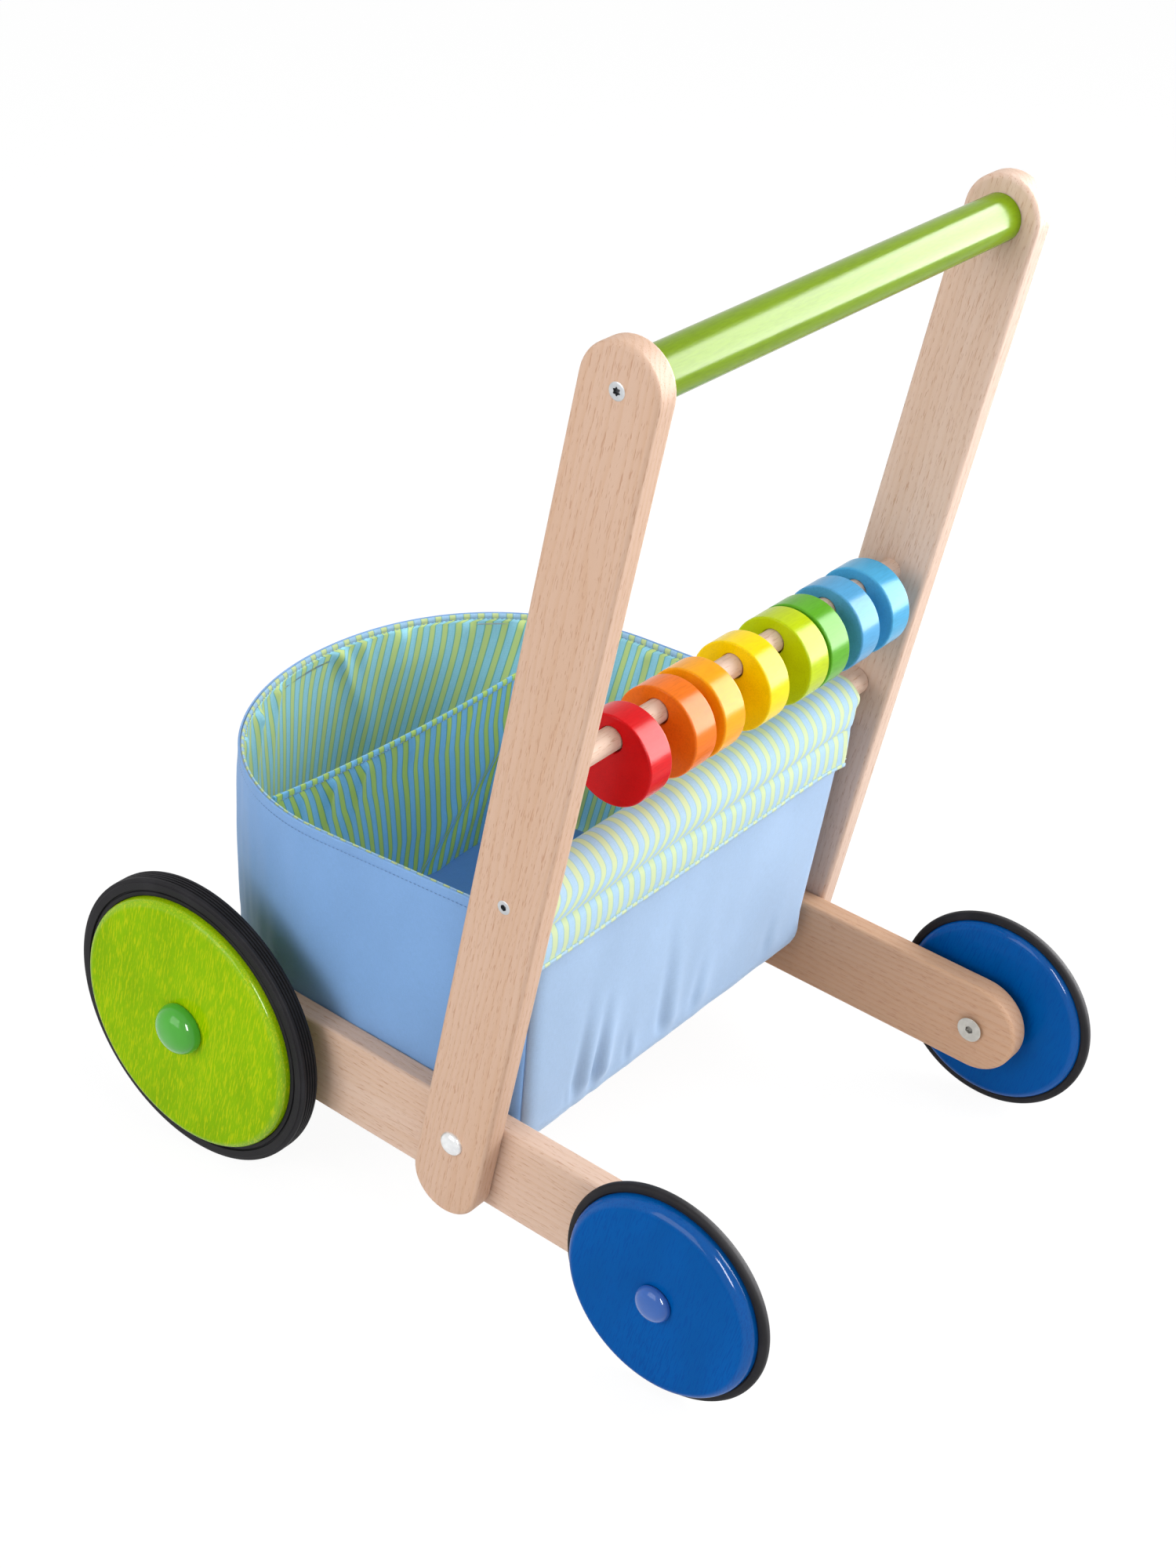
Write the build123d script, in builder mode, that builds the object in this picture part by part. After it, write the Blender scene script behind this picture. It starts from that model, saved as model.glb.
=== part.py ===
from build123d import *
from math import asin, atan2, cos, hypot, radians, sin, sqrt
from typing import NamedTuple
import os

os.makedirs("parts", exist_ok=True)

# Push-along baby walker. X runs across it, the front wheels are towards -Y,
# the child stands at +Y, and the floor is Z = 0. Lengths are in millimetres.

# Side rails and uprights
rail_spacing = 246.0
rail_thickness = 13.2
rail_height = 51.0
upright_thickness = 13.0
upright_width = 40.0
upright_lean = 13.0
timber_round = 2.5
wheelbase = 300.0
bolt_from_front_axle = 171.1
bolt_above_rail_middle = 14.6
upright_foot_drop = 26.0

# Bars between the uprights, at their distances up the upright from the frame bolt
basket_rod_up = 151.5
abacus_rod_up = 220.4
handle_up = 414.9
basket_rod_radius = 7.45
abacus_rod_radius = 5.9
abacus_rod_socket = 8.0
handle_radius = 11.5

# Abacus rings: they hang on the rod by a hole that is off their middle
ring_radius = 22.8
ring_thickness = 16.0
ring_hole_off_middle = 10.7
ring_round = 1.6
ring_play = 0.5
ring_hang_gap = 0.1
first_ring_gap = 16.5
ring_gaps = {"sky": 11.0, "blue": 10.9, "green": 1.8, "lime": 17.2,
             "yellow": 19.7, "amber": 6.5, "orange": 17.8, "red": 0.0}

# Wheels
front_tyre_radius = 81.0
front_tyre_width = 11.4
front_tyre_depth = 9.8
front_tyre_setback = 0.5
front_disc_thickness = 20.3
front_cap_radius = 14.2
front_cap_height = 11.5
rear_tyre_radius = 57.4
rear_tyre_width = 5.0
rear_tyre_depth = 4.7
rear_tyre_setback = 2.0
rear_disc_thickness = 14.5
rear_cap_radius = 9.6
rear_cap_height = 6.0
disc_round = 3.6
tyre_round = 1.6
tyre_foot_depth = 4.0
tyre_foot_inset = 1.2
wheel_to_rail = 5.5
tread_groove_width = 1.0
tread_groove_share = 0.2
tread_groove_depth = 0.6

# Axles and what runs on them
axle_radius = 3.0
axle_head_radius = 7.0
axle_head_height = 2.6
bush_wall = 2.0
running_clearance = 0.05
end_float = 0.2
spacer_wall = 3.0
washer_radius = 6.0
washer_thickness = 1.0
lock_nut_radius = 5.7
lock_nut_height = 5.0
axle_past_nut = 0.6
cap_skirt_wall = 1.6
cap_skirt_gap = 0.8
cap_skirt_length = 5.0
cap_shell = 2.0
press_gap = 0.02
same_size = 0.001
socket_key_radius = 2.3
socket_key_depth = 1.8
axle_head_round = 1.0
cap_dome_share = 0.6

# Fasteners in the timber
frame_bolt_radius = 3.0
frame_bolt_head_radius = 6.4
frame_bolt_head_height = 3.4
frame_bolt_dome_share = 0.9
sleeve_wall = 1.2
sleeve_head_radius = 6.6
sleeve_head_height = 2.0
sleeve_length = 12.0
handle_screw_head_radius = 3.9
basket_screw_head_radius = 3.5
wood_screw_radius = 2.0
wood_screw_length = 45.0
screw_recess_radius = 1.6
screw_recess_depth = 1.5
hole_gap = 0.1
dowel_pin_radius = 4.0
dowel_pin_depth = 8.5
locating_dowel_below_bolt = 24.0

# Base under the basket
cross_bar_width = 40.0
cross_bar_thickness = 13.0
front_cross_bar_from_axle = 40.0
rear_cross_bar_from_axle = 138.0
cross_bar_pin_spacing = 22.0
cross_bar_pin_depth = 20.0
cross_bar_edge_round = 2.0
board_thickness = 6.0
board_margin = 4.0
board_screw_head_radius = 3.5
board_screw_length = 16.0
board_screw_spacing = 180.0

# Cloth basket
basket_side_gap = 0.4
rim_side_gap = 4.6
rim_below_rod = 17.7
rim_front_overhang = 56.6
floor_front_overhang = 69.0
floor_rear_from_bolt = 21.0
rear_wall_setback = 3.0
basket_corner = 14.0
floor_edge_round = 14.0
outer_cloth = 1.6
lining_cloth = 1.4
cloth_gap = 0.1
floor_pad_thickness = 13.6
binding_thickness = 0.9
binding_drop = 7.0
rim_band = 9.0
rim_wire_radius = 1.3
binding_end_gap = 8.0
divider_thickness = 2.4
divider_from_axle = 32.5
divider_foot_forward = 13.0
divider_below_binding = 1.0
divider_sag = 8.0
flap_thickness = 1.5
flap_gap = 0.3
flap_end_gap = 10.0
flap_drop = 38.0

# Places worked out from the sizes above
rail_inner = rail_spacing / 2
rail_outer = rail_inner + rail_thickness
upright_outer = rail_outer + upright_thickness
front_disc_radius = front_tyre_radius - front_tyre_depth
rear_disc_radius = rear_tyre_radius - rear_tyre_depth
front_axle_y = (front_tyre_radius - rear_tyre_radius - wheelbase) / 2
rear_axle_y = front_axle_y + wheelbase
rail_slope = atan2(front_tyre_radius - rear_tyre_radius, wheelbase)
rail_length = hypot(wheelbase, front_tyre_radius - rear_tyre_radius)
lean = radians(upright_lean)
upright_dir = Vector(0, sin(lean), cos(lean))
rail_dir = Vector(0, cos(rail_slope), -sin(rail_slope))
rail_up = Vector(0, sin(rail_slope), cos(rail_slope))
front_axle = Vector(0, front_axle_y, front_tyre_radius)
rear_axle = Vector(0, rear_axle_y, rear_tyre_radius)
bolt_foot = front_axle + rail_dir * (bolt_from_front_axle / cos(rail_slope))
bolt = bolt_foot + rail_up * bolt_above_rail_middle
basket_rod = bolt + upright_dir * basket_rod_up
abacus_rod = bolt + upright_dir * abacus_rod_up
handle = bolt + upright_dir * handle_up
locating_dowel = bolt - upright_dir * locating_dowel_below_bolt

# The deck is the sloping plane along the rails' middle, on which the basket stands
deck = Plane(origin=front_axle, x_dir=(1, 0, 0), z_dir=rail_up)
bolt_on_deck = bolt_from_front_axle / cos(rail_slope)

SIDES = {"left": 1, "right": -1}
BOTTOM = (Align.CENTER, Align.CENTER, Align.MIN)
TOP = (Align.CENTER, Align.CENTER, Align.MAX)


def save(piece, name):
    """Label a finished piece and write its STEP file."""
    piece.part.label = name
    export_step(piece.part, f"parts/{name}.step")


def facing_out(side, x, centre):
    """Plane square to X through a centre, at x on one side, looking away from the middle."""
    return Plane(origin=(side * x, centre.Y, centre.Z), x_dir=(0, 0, 1), z_dir=(side, 0, 0))


def facing_in(side, x, centre):
    """The same plane, looking towards the middle."""
    return Plane(origin=(side * x, centre.Y, centre.Z), x_dir=(0, 0, 1), z_dir=(-side, 0, 0))


def outward(side):
    """Direction for sorting faces from the middle outwards."""
    return Axis((0, 0, 0), (side, 0, 0))


def circles(piece, radius):
    """Round edges of a piece that have a given radius."""
    arcs = piece.edges().filter_by(GeomType.CIRCLE)
    return arcs.filter_by(lambda edge: abs(edge.radius - radius) < same_size)


def face_edges(piece, side):
    """Edges of the innermost and outermost faces of a timber."""
    faces = piece.faces().sort_by(outward(side))
    return faces[0].edges() + faces[-1].edges()


# Side rails, with the cross bars' pin holes on their inner faces
def cross_bar_pins(from_axle):
    """Centres of the pins of one cross bar, in the plane of a rail."""
    depth = board_thickness + cross_bar_thickness / 2
    return [front_axle + rail_dir * (from_axle + step) - rail_up * depth
            for step in (-cross_bar_pin_spacing / 2, cross_bar_pin_spacing / 2)]


pin_centres = cross_bar_pins(front_cross_bar_from_axle) + cross_bar_pins(rear_cross_bar_from_axle)

for name, side in SIDES.items():
    rail_plane = Plane(origin=(side * rail_inner, front_axle_y, front_tyre_radius),
                       x_dir=rail_dir, z_dir=(side, 0, 0))
    with BuildPart() as rail:
        with BuildSketch(rail_plane):
            with Locations((rail_length / 2, 0)):
                SlotCenterToCenter(rail_length, rail_height)
        extrude(amount=rail_thickness)
        fillet(face_edges(rail, side), timber_round)
        for axle in (front_axle, rear_axle):
            with Locations(facing_out(side, rail_outer, axle)):
                Hole(axle_radius + hole_gap)
        with Locations(facing_in(side, rail_inner, bolt)):
            CounterBoreHole(frame_bolt_radius + sleeve_wall + hole_gap, sleeve_head_radius + hole_gap,
                            sleeve_head_height)
        with Locations(facing_out(side, rail_outer, locating_dowel)):
            Hole(dowel_pin_radius + press_gap, depth=dowel_pin_depth)
        for centre in pin_centres:
            with Locations(facing_in(side, rail_inner, centre)):
                Hole(dowel_pin_radius + press_gap, depth=dowel_pin_depth)
    save(rail, f"{name}_rail")


# Uprights, bolted to the rails' outer faces
for name, side in SIDES.items():
    upright_plane = Plane(origin=(side * rail_outer, bolt.Y, bolt.Z), x_dir=upright_dir, z_dir=(side, 0, 0))
    with BuildPart() as upright:
        with BuildSketch(upright_plane):
            with Locations(((handle_up - upright_foot_drop) / 2, 0)):
                SlotCenterToCenter(handle_up + upright_foot_drop, upright_width)
        extrude(amount=upright_thickness)
        fillet(face_edges(upright, side), timber_round)
        with Locations(facing_out(side, upright_outer, bolt)):
            Hole(frame_bolt_radius + hole_gap)
        with Locations(facing_in(side, rail_outer, locating_dowel)):
            Hole(dowel_pin_radius + press_gap, depth=dowel_pin_depth)
        with Locations(facing_in(side, rail_outer, abacus_rod)):
            Hole(abacus_rod_radius + press_gap, depth=abacus_rod_socket)
        with Locations(facing_out(side, upright_outer, handle)):
            CounterSinkHole(wood_screw_radius + hole_gap, handle_screw_head_radius + hole_gap)
        with Locations(facing_out(side, upright_outer, basket_rod)):
            CounterSinkHole(wood_screw_radius + hole_gap, basket_screw_head_radius + hole_gap)
    save(upright, f"{name}_upright")


# Bars between the uprights
def round_bar(name, centre, radius, half_length, pilot_depth):
    """Turned bar along X, with a pilot hole in each end where a screw holds it."""
    with BuildPart() as bar:
        with BuildSketch(Plane(origin=(-half_length, centre.Y, centre.Z), z_dir=(1, 0, 0))):
            Circle(radius)
        extrude(amount=2 * half_length)
        if pilot_depth:
            for side in SIDES.values():
                with Locations(facing_out(side, half_length, centre)):
                    Hole(wood_screw_radius + hole_gap, depth=pilot_depth)
    save(bar, name)


pilot = wood_screw_length - upright_thickness + hole_gap
round_bar("handle_bar", handle, handle_radius, rail_outer, pilot)
round_bar("basket_rod", basket_rod, basket_rod_radius, rail_outer, pilot)
round_bar("abacus_rod", abacus_rod, abacus_rod_radius, rail_outer + abacus_rod_socket - hole_gap, 0)


# Abacus rings, placed one after another from the right upright
ring_hole_radius = abacus_rod_radius + ring_play
ring_hole = abacus_rod - Vector(0, 0, ring_play - ring_hang_gap)
ring_middle = ring_hole - Vector(0, 0, ring_hole_off_middle)
ring_x = first_ring_gap - rail_outer

for colour, gap in ring_gaps.items():
    with BuildPart() as ring:
        with BuildSketch(Plane(origin=(ring_x, ring_middle.Y, ring_middle.Z), z_dir=(1, 0, 0))):
            Circle(ring_radius)
        extrude(amount=ring_thickness)
        fillet(ring.edges().filter_by(GeomType.CIRCLE), ring_round)
        with Locations(Plane(origin=(ring_x + ring_thickness, ring_hole.Y, ring_hole.Z), z_dir=(1, 0, 0))):
            Hole(ring_hole_radius)
    save(ring, f"ring_{colour}")
    ring_x += ring_thickness + gap


# Wheels
class WheelSize(NamedTuple):
    """Sizes of one pair of wheels, and the axle they turn on."""
    axle: Vector
    tyre_radius: float
    tyre_width: float
    tyre_setback: float
    disc_radius: float
    disc_thickness: float
    cap_radius: float
    cap_height: float
    tread_grooves: tuple


WHEELS = {
    "front": WheelSize(front_axle, front_tyre_radius, front_tyre_width, front_tyre_setback,
                       front_disc_radius, front_disc_thickness, front_cap_radius, front_cap_height, (-1, 1)),
    "rear": WheelSize(rear_axle, rear_tyre_radius, rear_tyre_width, rear_tyre_setback,
                      rear_disc_radius, rear_disc_thickness, rear_cap_radius, rear_cap_height, ()),
}
bush_radius = axle_radius + running_clearance + bush_wall
skirt_inner = max(lock_nut_radius, washer_radius) + cap_skirt_gap
skirt_outer = skirt_inner + cap_skirt_wall
stack_height = end_float + washer_thickness + lock_nut_height + axle_past_nut


def hub_recess(wheel):
    """Depth of the recess that holds the lock nut and the cap's skirt."""
    return wheel.disc_thickness / 2


for end, wheel in WHEELS.items():
    recess = hub_recess(wheel)
    bush_length = wheel.disc_thickness - recess
    groove_radius = wheel.disc_radius - tyre_foot_depth
    groove_width = min(wheel.tyre_width, wheel.disc_thickness - 2 * disc_round) - 2 * tyre_foot_inset
    middle = wheel_to_rail + wheel.disc_thickness / 2 - wheel.tyre_setback
    for name, side in SIDES.items():
        rail_face = facing_out(side, rail_outer, wheel.axle)
        inner_face = rail_face.offset(wheel_to_rail)
        outer_face = inner_face.offset(wheel.disc_thickness)

        with BuildPart() as disc:
            with Locations(inner_face):
                Cylinder(wheel.disc_radius, wheel.disc_thickness, align=BOTTOM)
            fillet(disc.edges().filter_by(GeomType.CIRCLE), disc_round)
            with BuildSketch(rail_face.offset(middle - groove_width / 2)):
                Circle(wheel.disc_radius + disc_round)
                Circle(groove_radius, mode=Mode.SUBTRACT)
            extrude(amount=groove_width, mode=Mode.SUBTRACT)
            with Locations(outer_face):
                CounterBoreHole(bush_radius + press_gap, skirt_outer + press_gap, recess)
        save(disc, f"{end}_{name}_disc")

        with BuildPart() as tyre:
            with BuildSketch(rail_face.offset(middle - wheel.tyre_width / 2)):
                Circle(wheel.tyre_radius)
                Circle(wheel.disc_radius + press_gap, mode=Mode.SUBTRACT)
            extrude(amount=wheel.tyre_width)
            fillet(circles(tyre, wheel.tyre_radius), tyre_round)
            with BuildSketch(rail_face.offset(middle - groove_width / 2 + press_gap)):
                Circle(wheel.disc_radius + 2 * press_gap)
                Circle(groove_radius + press_gap, mode=Mode.SUBTRACT)
            extrude(amount=groove_width - 2 * press_gap)
            for step in wheel.tread_grooves:
                groove_middle = middle + step * wheel.tyre_width * tread_groove_share
                with BuildSketch(rail_face.offset(groove_middle - tread_groove_width / 2)):
                    Circle(wheel.tyre_radius + tread_groove_depth)
                    Circle(wheel.tyre_radius - tread_groove_depth, mode=Mode.SUBTRACT)
                extrude(amount=tread_groove_width, mode=Mode.SUBTRACT)
        save(tyre, f"{end}_{name}_tyre")

        with BuildPart() as bush:
            with Locations(inner_face):
                Cylinder(bush_radius, bush_length, align=BOTTOM)
                Cylinder(axle_radius + running_clearance, bush_length, align=BOTTOM, mode=Mode.SUBTRACT)
        save(bush, f"{end}_{name}_bush")

        with BuildPart() as cap:
            with Locations(outer_face):
                Cylinder(wheel.cap_radius, wheel.cap_height, align=BOTTOM)
            dome_edge = cap.faces().sort_by(outward(side))[-1].edges()
            fillet(dome_edge, wheel.cap_height * cap_dome_share)
            with Locations(outer_face):
                Cylinder(skirt_outer, cap_skirt_length, align=TOP)
                Cylinder(skirt_inner, cap_skirt_length, align=TOP, mode=Mode.SUBTRACT)
                Cylinder(skirt_inner, wheel.cap_height - cap_shell, align=BOTTOM, mode=Mode.SUBTRACT)
        save(cap, f"{end}_{name}_cap")


# Axle bolts, spacers, washers and lock nuts, one of each at every wheel
def at_wheels():
    """Each wheel's size, its side and the plane of the rail's outer face at its axle."""
    return [(wheel, side, facing_out(side, rail_outer, wheel.axle))
            for wheel in WHEELS.values() for side in SIDES.values()]


with BuildPart() as axle_bolts:
    for wheel, side, rail_face in at_wheels():
        reach = wheel_to_rail + wheel.disc_thickness - hub_recess(wheel) + stack_height
        rail_inside = facing_in(side, rail_inner, wheel.axle)
        with Locations(rail_inside):
            Cylinder(axle_head_radius, axle_head_height, align=BOTTOM)
        with Locations(rail_face.offset(reach)):
            Cylinder(axle_radius, reach + rail_thickness, align=TOP)
        with BuildSketch(rail_inside.offset(axle_head_height)):
            RegularPolygon(socket_key_radius, 6)
        extrude(amount=-socket_key_depth, mode=Mode.SUBTRACT)
    head_edges = circles(axle_bolts, axle_head_radius)
    free_edges = head_edges.filter_by(lambda edge: abs(edge.center().X) < rail_inner - hole_gap)
    fillet(free_edges, axle_head_round)
save(axle_bolts, "axle_bolts")

with BuildPart() as axle_spacers:
    for wheel, side, rail_face in at_wheels():
        with BuildSketch(rail_face):
            Circle(axle_radius + running_clearance + spacer_wall)
            Circle(axle_radius + running_clearance, mode=Mode.SUBTRACT)
        extrude(amount=wheel_to_rail - end_float)
save(axle_spacers, "axle_spacers")

with BuildPart() as axle_washers:
    for wheel, side, rail_face in at_wheels():
        recess_floor = wheel_to_rail + wheel.disc_thickness - hub_recess(wheel)
        with BuildSketch(rail_face.offset(recess_floor + end_float)):
            Circle(washer_radius)
            Circle(axle_radius + running_clearance, mode=Mode.SUBTRACT)
        extrude(amount=washer_thickness)
save(axle_washers, "axle_washers")

with BuildPart() as axle_lock_nuts:
    for wheel, side, rail_face in at_wheels():
        recess_floor = wheel_to_rail + wheel.disc_thickness - hub_recess(wheel)
        with BuildSketch(rail_face.offset(recess_floor + end_float + washer_thickness)):
            RegularPolygon(lock_nut_radius, 6)
            Circle(axle_radius + press_gap, mode=Mode.SUBTRACT)
        extrude(amount=lock_nut_height)
save(axle_lock_nuts, "axle_lock_nuts")


# Domed frame bolts with sleeve nuts, and the dowels that stop the uprights turning
with BuildPart() as frame_bolts:
    for side in SIDES.values():
        with Locations(facing_out(side, upright_outer, bolt)):
            Cylinder(frame_bolt_head_radius, frame_bolt_head_height, align=BOTTOM)
            Cylinder(frame_bolt_radius, upright_thickness + rail_thickness - sleeve_head_height, align=TOP)
    dome_tops = frame_bolts.faces().filter_by(Axis.X).sort_by(Axis.X)
    fillet(dome_tops[0].edges() + dome_tops[-1].edges(), frame_bolt_head_height * frame_bolt_dome_share)
save(frame_bolts, "frame_bolts")

with BuildPart() as frame_nuts:
    for side in SIDES.values():
        with BuildSketch(facing_out(side, rail_inner, bolt)):
            Circle(sleeve_head_radius)
        extrude(amount=sleeve_head_height)
        with BuildSketch(facing_out(side, rail_inner + sleeve_head_height, bolt)):
            Circle(frame_bolt_radius + sleeve_wall)
            Circle(frame_bolt_radius + press_gap, mode=Mode.SUBTRACT)
        extrude(amount=sleeve_length - sleeve_head_height)
save(frame_nuts, "frame_nuts")

with BuildPart() as locating_dowels:
    for side in SIDES.values():
        with BuildSketch(facing_out(side, rail_outer - dowel_pin_depth + hole_gap, locating_dowel)):
            Circle(dowel_pin_radius)
        extrude(amount=2 * (dowel_pin_depth - hole_gap))
save(locating_dowels, "locating_dowels")


# Countersunk wood screws
def countersunk_screw(plane, head_radius, length):
    """Screw whose head lies flush with a plane and whose shank runs back from it."""
    head_height = head_radius - wood_screw_radius
    with Locations(plane):
        Cone(wood_screw_radius, head_radius, head_height, align=TOP)
        Cylinder(wood_screw_radius, length, align=TOP)
    with BuildSketch(plane) as recess:
        RegularPolygon(screw_recess_radius, 6)
    extrude(recess.sketch, amount=-screw_recess_depth, mode=Mode.SUBTRACT)


with BuildPart() as handle_screws:
    for side in SIDES.values():
        countersunk_screw(facing_out(side, upright_outer, handle), handle_screw_head_radius,
                          wood_screw_length)
save(handle_screws, "handle_screws")

with BuildPart() as basket_rod_screws:
    for side in SIDES.values():
        countersunk_screw(facing_out(side, upright_outer, basket_rod), basket_screw_head_radius,
                          wood_screw_length)
save(basket_rod_screws, "basket_rod_screws")


# Cross bars between the rails, with their pins
def cross_bar(name, from_axle):
    """Flat bar between the rails, under the base board."""
    bar_top = deck.offset(-board_thickness)
    with BuildPart() as bar:
        with BuildSketch(bar_top):
            with Locations((0, from_axle)):
                Rectangle(rail_spacing, cross_bar_width)
        extrude(amount=-cross_bar_thickness)
        fillet(bar.edges().filter_by(Axis.X), cross_bar_edge_round)
        for side in SIDES.values():
            for centre in cross_bar_pins(from_axle):
                with Locations(facing_out(side, rail_inner, centre)):
                    Hole(dowel_pin_radius + press_gap, depth=cross_bar_pin_depth)
        for side in SIDES.values():
            screw_place = bar_top.from_local_coords((side * board_screw_spacing / 2, from_axle, 0))
            with Locations(Plane(origin=screw_place, x_dir=(1, 0, 0), z_dir=rail_up)):
                Hole(wood_screw_radius + hole_gap, depth=board_screw_length - board_thickness + hole_gap)
    save(bar, name)


cross_bar("front_cross_bar", front_cross_bar_from_axle)
cross_bar("rear_cross_bar", rear_cross_bar_from_axle)

with BuildPart() as cross_bar_dowels:
    for side in SIDES.values():
        for centre in pin_centres:
            with BuildSketch(facing_out(side, rail_inner - cross_bar_pin_depth + hole_gap, centre)):
                Circle(dowel_pin_radius)
            extrude(amount=cross_bar_pin_depth + dowel_pin_depth - 2 * hole_gap)
save(cross_bar_dowels, "cross_bar_dowels")


# Outline of the basket: straight back with rounded corners, straight sides, half-round front
def basket_outline(half_width, front, rear, inset):
    """Draw the D-shaped outline as a face, drawn in evenly by an inset."""
    side_x = half_width - inset
    front_y = front + inset
    rear_y = rear - inset
    arc_y = front_y + side_x
    mid = side_x * sqrt(0.5)
    with BuildLine() as outline:
        ThreePointArc((side_x, arc_y), (mid, arc_y - mid), (0, front_y))
        ThreePointArc((0, front_y), (-mid, arc_y - mid), (-side_x, arc_y))
        Line((-side_x, arc_y), (-side_x, rear_y))
        Line((-side_x, rear_y), (side_x, rear_y))
        Line((side_x, rear_y), (side_x, arc_y))
    face = make_face(outline.edges())
    fillet(face.vertices().sort_by(Axis.Y)[-2:], basket_corner - inset / 2)


# Floor outline lies on the deck, measured from the front axle. Rim outline is level.
floor_half_width = rail_inner - basket_side_gap
floor_rear = bolt_on_deck + floor_rear_from_bolt
rim_half_width = rail_outer - rim_side_gap
rim_front = front_axle_y - rim_front_overhang
rim_rear = basket_rod.Y + basket_rod_radius - rear_wall_setback
rim_top = basket_rod.Z - rim_below_rod
wall_top = rim_top - binding_thickness - 2 * rim_wire_radius - 2 * cloth_gap
band_bottom = rim_top - rim_band
wall = outer_cloth + cloth_gap + lining_cloth

# Heights and tucks of the sections that round the basket's lower edge and take it up to the rails' tops
edge_step = floor_edge_round * (1 - sqrt(0.5))
lower_sections = ((0, floor_edge_round), (edge_step, edge_step), (floor_edge_round, 0), (rail_height / 2, 0))


def floor_outline(inset):
    """Outline of the basket's foot, on the deck."""
    basket_outline(floor_half_width, -floor_front_overhang, floor_rear, inset)


def rim_outline(inset):
    """Outline of the basket's rim, level."""
    basket_outline(rim_half_width, rim_front, rim_rear, inset)


def basket_form(inset, top):
    """Solid form of the basket, drawn in by an inset, up to a level top."""
    sections = []
    for rise, tuck in lower_sections:
        with BuildSketch(deck.offset(rise)) as section:
            floor_outline(inset + tuck)
        sections.append(section.sketch)
    with BuildSketch(Plane.XY.offset(band_bottom)) as rim_section:
        rim_outline(inset)
    loft(sections + [rim_section.sketch], ruled=True)
    extrude(rim_section.sketch, amount=top - band_bottom)


def form_above(inset, top, floor):
    """The basket's form above a floor that lies parallel to the deck."""
    with BuildPart() as form:
        basket_form(inset, top)
        split(bisect_by=deck.offset(floor), keep=Keep.TOP)
    return form.part


pad_bottom = outer_cloth + cloth_gap
pad_top = pad_bottom + floor_pad_thickness
lining_bottom = pad_top + cloth_gap
inside_floor = lining_bottom + lining_cloth

outer_hollow = form_above(outer_cloth, rim_top, outer_cloth)
lining_body = form_above(outer_cloth + cloth_gap, wall_top, lining_bottom)
lining_hollow = form_above(wall, rim_top, inside_floor)

# The back panel is sewn to the rest of the outer cloth above its rounded foot and beside its corners
panel_half_width = floor_half_width - basket_corner
panel_depth = 2 * (rim_rear - bolt.Y)

with BuildPart() as panel_room:
    with BuildSketch(deck.offset(floor_edge_round)):
        with Locations((0, bolt_on_deck)):
            Rectangle(2 * panel_half_width, panel_depth, align=(Align.CENTER, Align.MIN))
    extrude(amount=rim_top)

with BuildPart() as basket_outer:
    basket_form(0, wall_top)
    add(outer_hollow, mode=Mode.SUBTRACT)
    add(panel_room.part, mode=Mode.SUBTRACT)
save(basket_outer, "basket_outer")

with BuildPart() as basket_back_panel:
    basket_form(0, wall_top)
    add(outer_hollow, mode=Mode.SUBTRACT)
    add(panel_room.part, mode=Mode.INTERSECT)
save(basket_back_panel, "basket_back_panel")

with BuildPart() as basket_lining:
    add(lining_body)
    add(lining_hollow, mode=Mode.SUBTRACT)
save(basket_lining, "basket_lining")

with BuildPart() as floor_pad:
    basket_form(outer_cloth + cloth_gap, wall_top)
    split(bisect_by=deck.offset(pad_bottom), keep=Keep.TOP)
    split(bisect_by=deck.offset(pad_top), keep=Keep.BOTTOM)
save(floor_pad, "floor_pad")


# Base board under the basket, screwed to the cross bars
with BuildPart() as base_board:
    with BuildSketch(deck.offset(-board_thickness)):
        floor_outline(floor_edge_round + board_margin)
    extrude(amount=board_thickness)
    for from_axle in (front_cross_bar_from_axle, rear_cross_bar_from_axle):
        for side in SIDES.values():
            screw_place = deck.from_local_coords((side * board_screw_spacing / 2, from_axle, 0))
            with Locations(Plane(origin=screw_place, x_dir=(1, 0, 0), z_dir=rail_up)):
                CounterSinkHole(wood_screw_radius + hole_gap, board_screw_head_radius + hole_gap)
save(base_board, "base_board")

with BuildPart() as board_screws:
    for from_axle in (front_cross_bar_from_axle, rear_cross_bar_from_axle):
        for side in SIDES.values():
            screw_place = deck.from_local_coords((side * board_screw_spacing / 2, from_axle, 0))
            screw_plane = Plane(origin=screw_place, x_dir=(1, 0, 0), z_dir=rail_up)
            countersunk_screw(screw_plane, board_screw_head_radius, board_screw_length)
save(board_screws, "board_screws")


# Divider between the two compartments: it leans, and its top edge sags between the sides
divider_y = front_axle_y + divider_from_axle
divider_top = rim_top - binding_drop - divider_below_binding
divider_foot = front_tyre_radius - divider_from_axle * sin(rail_slope)
divider_room = form_above(wall + cloth_gap, rim_top, inside_floor + cloth_gap)

with BuildPart() as basket_divider:
    with BuildSketch(Plane.YZ):
        with BuildLine():
            Polyline((divider_y - divider_foot_forward, divider_foot),
                     (divider_y - divider_foot_forward + divider_thickness, divider_foot),
                     (divider_y + divider_thickness, divider_top),
                     (divider_y, divider_top), close=True)
        make_face()
    extrude(amount=rim_half_width, both=True)
    add(divider_room, mode=Mode.INTERSECT)
    with BuildSketch(Plane.XZ.offset(-divider_y)):
        with BuildLine():
            ThreePointArc((-rim_half_width, divider_top), (0, divider_top - divider_sag),
                          (rim_half_width, divider_top))
            Line((rim_half_width, divider_top), (-rim_half_width, divider_top))
        make_face()
    extrude(amount=2 * divider_foot_forward, both=True, mode=Mode.SUBTRACT)
save(basket_divider, "basket_divider")


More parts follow.
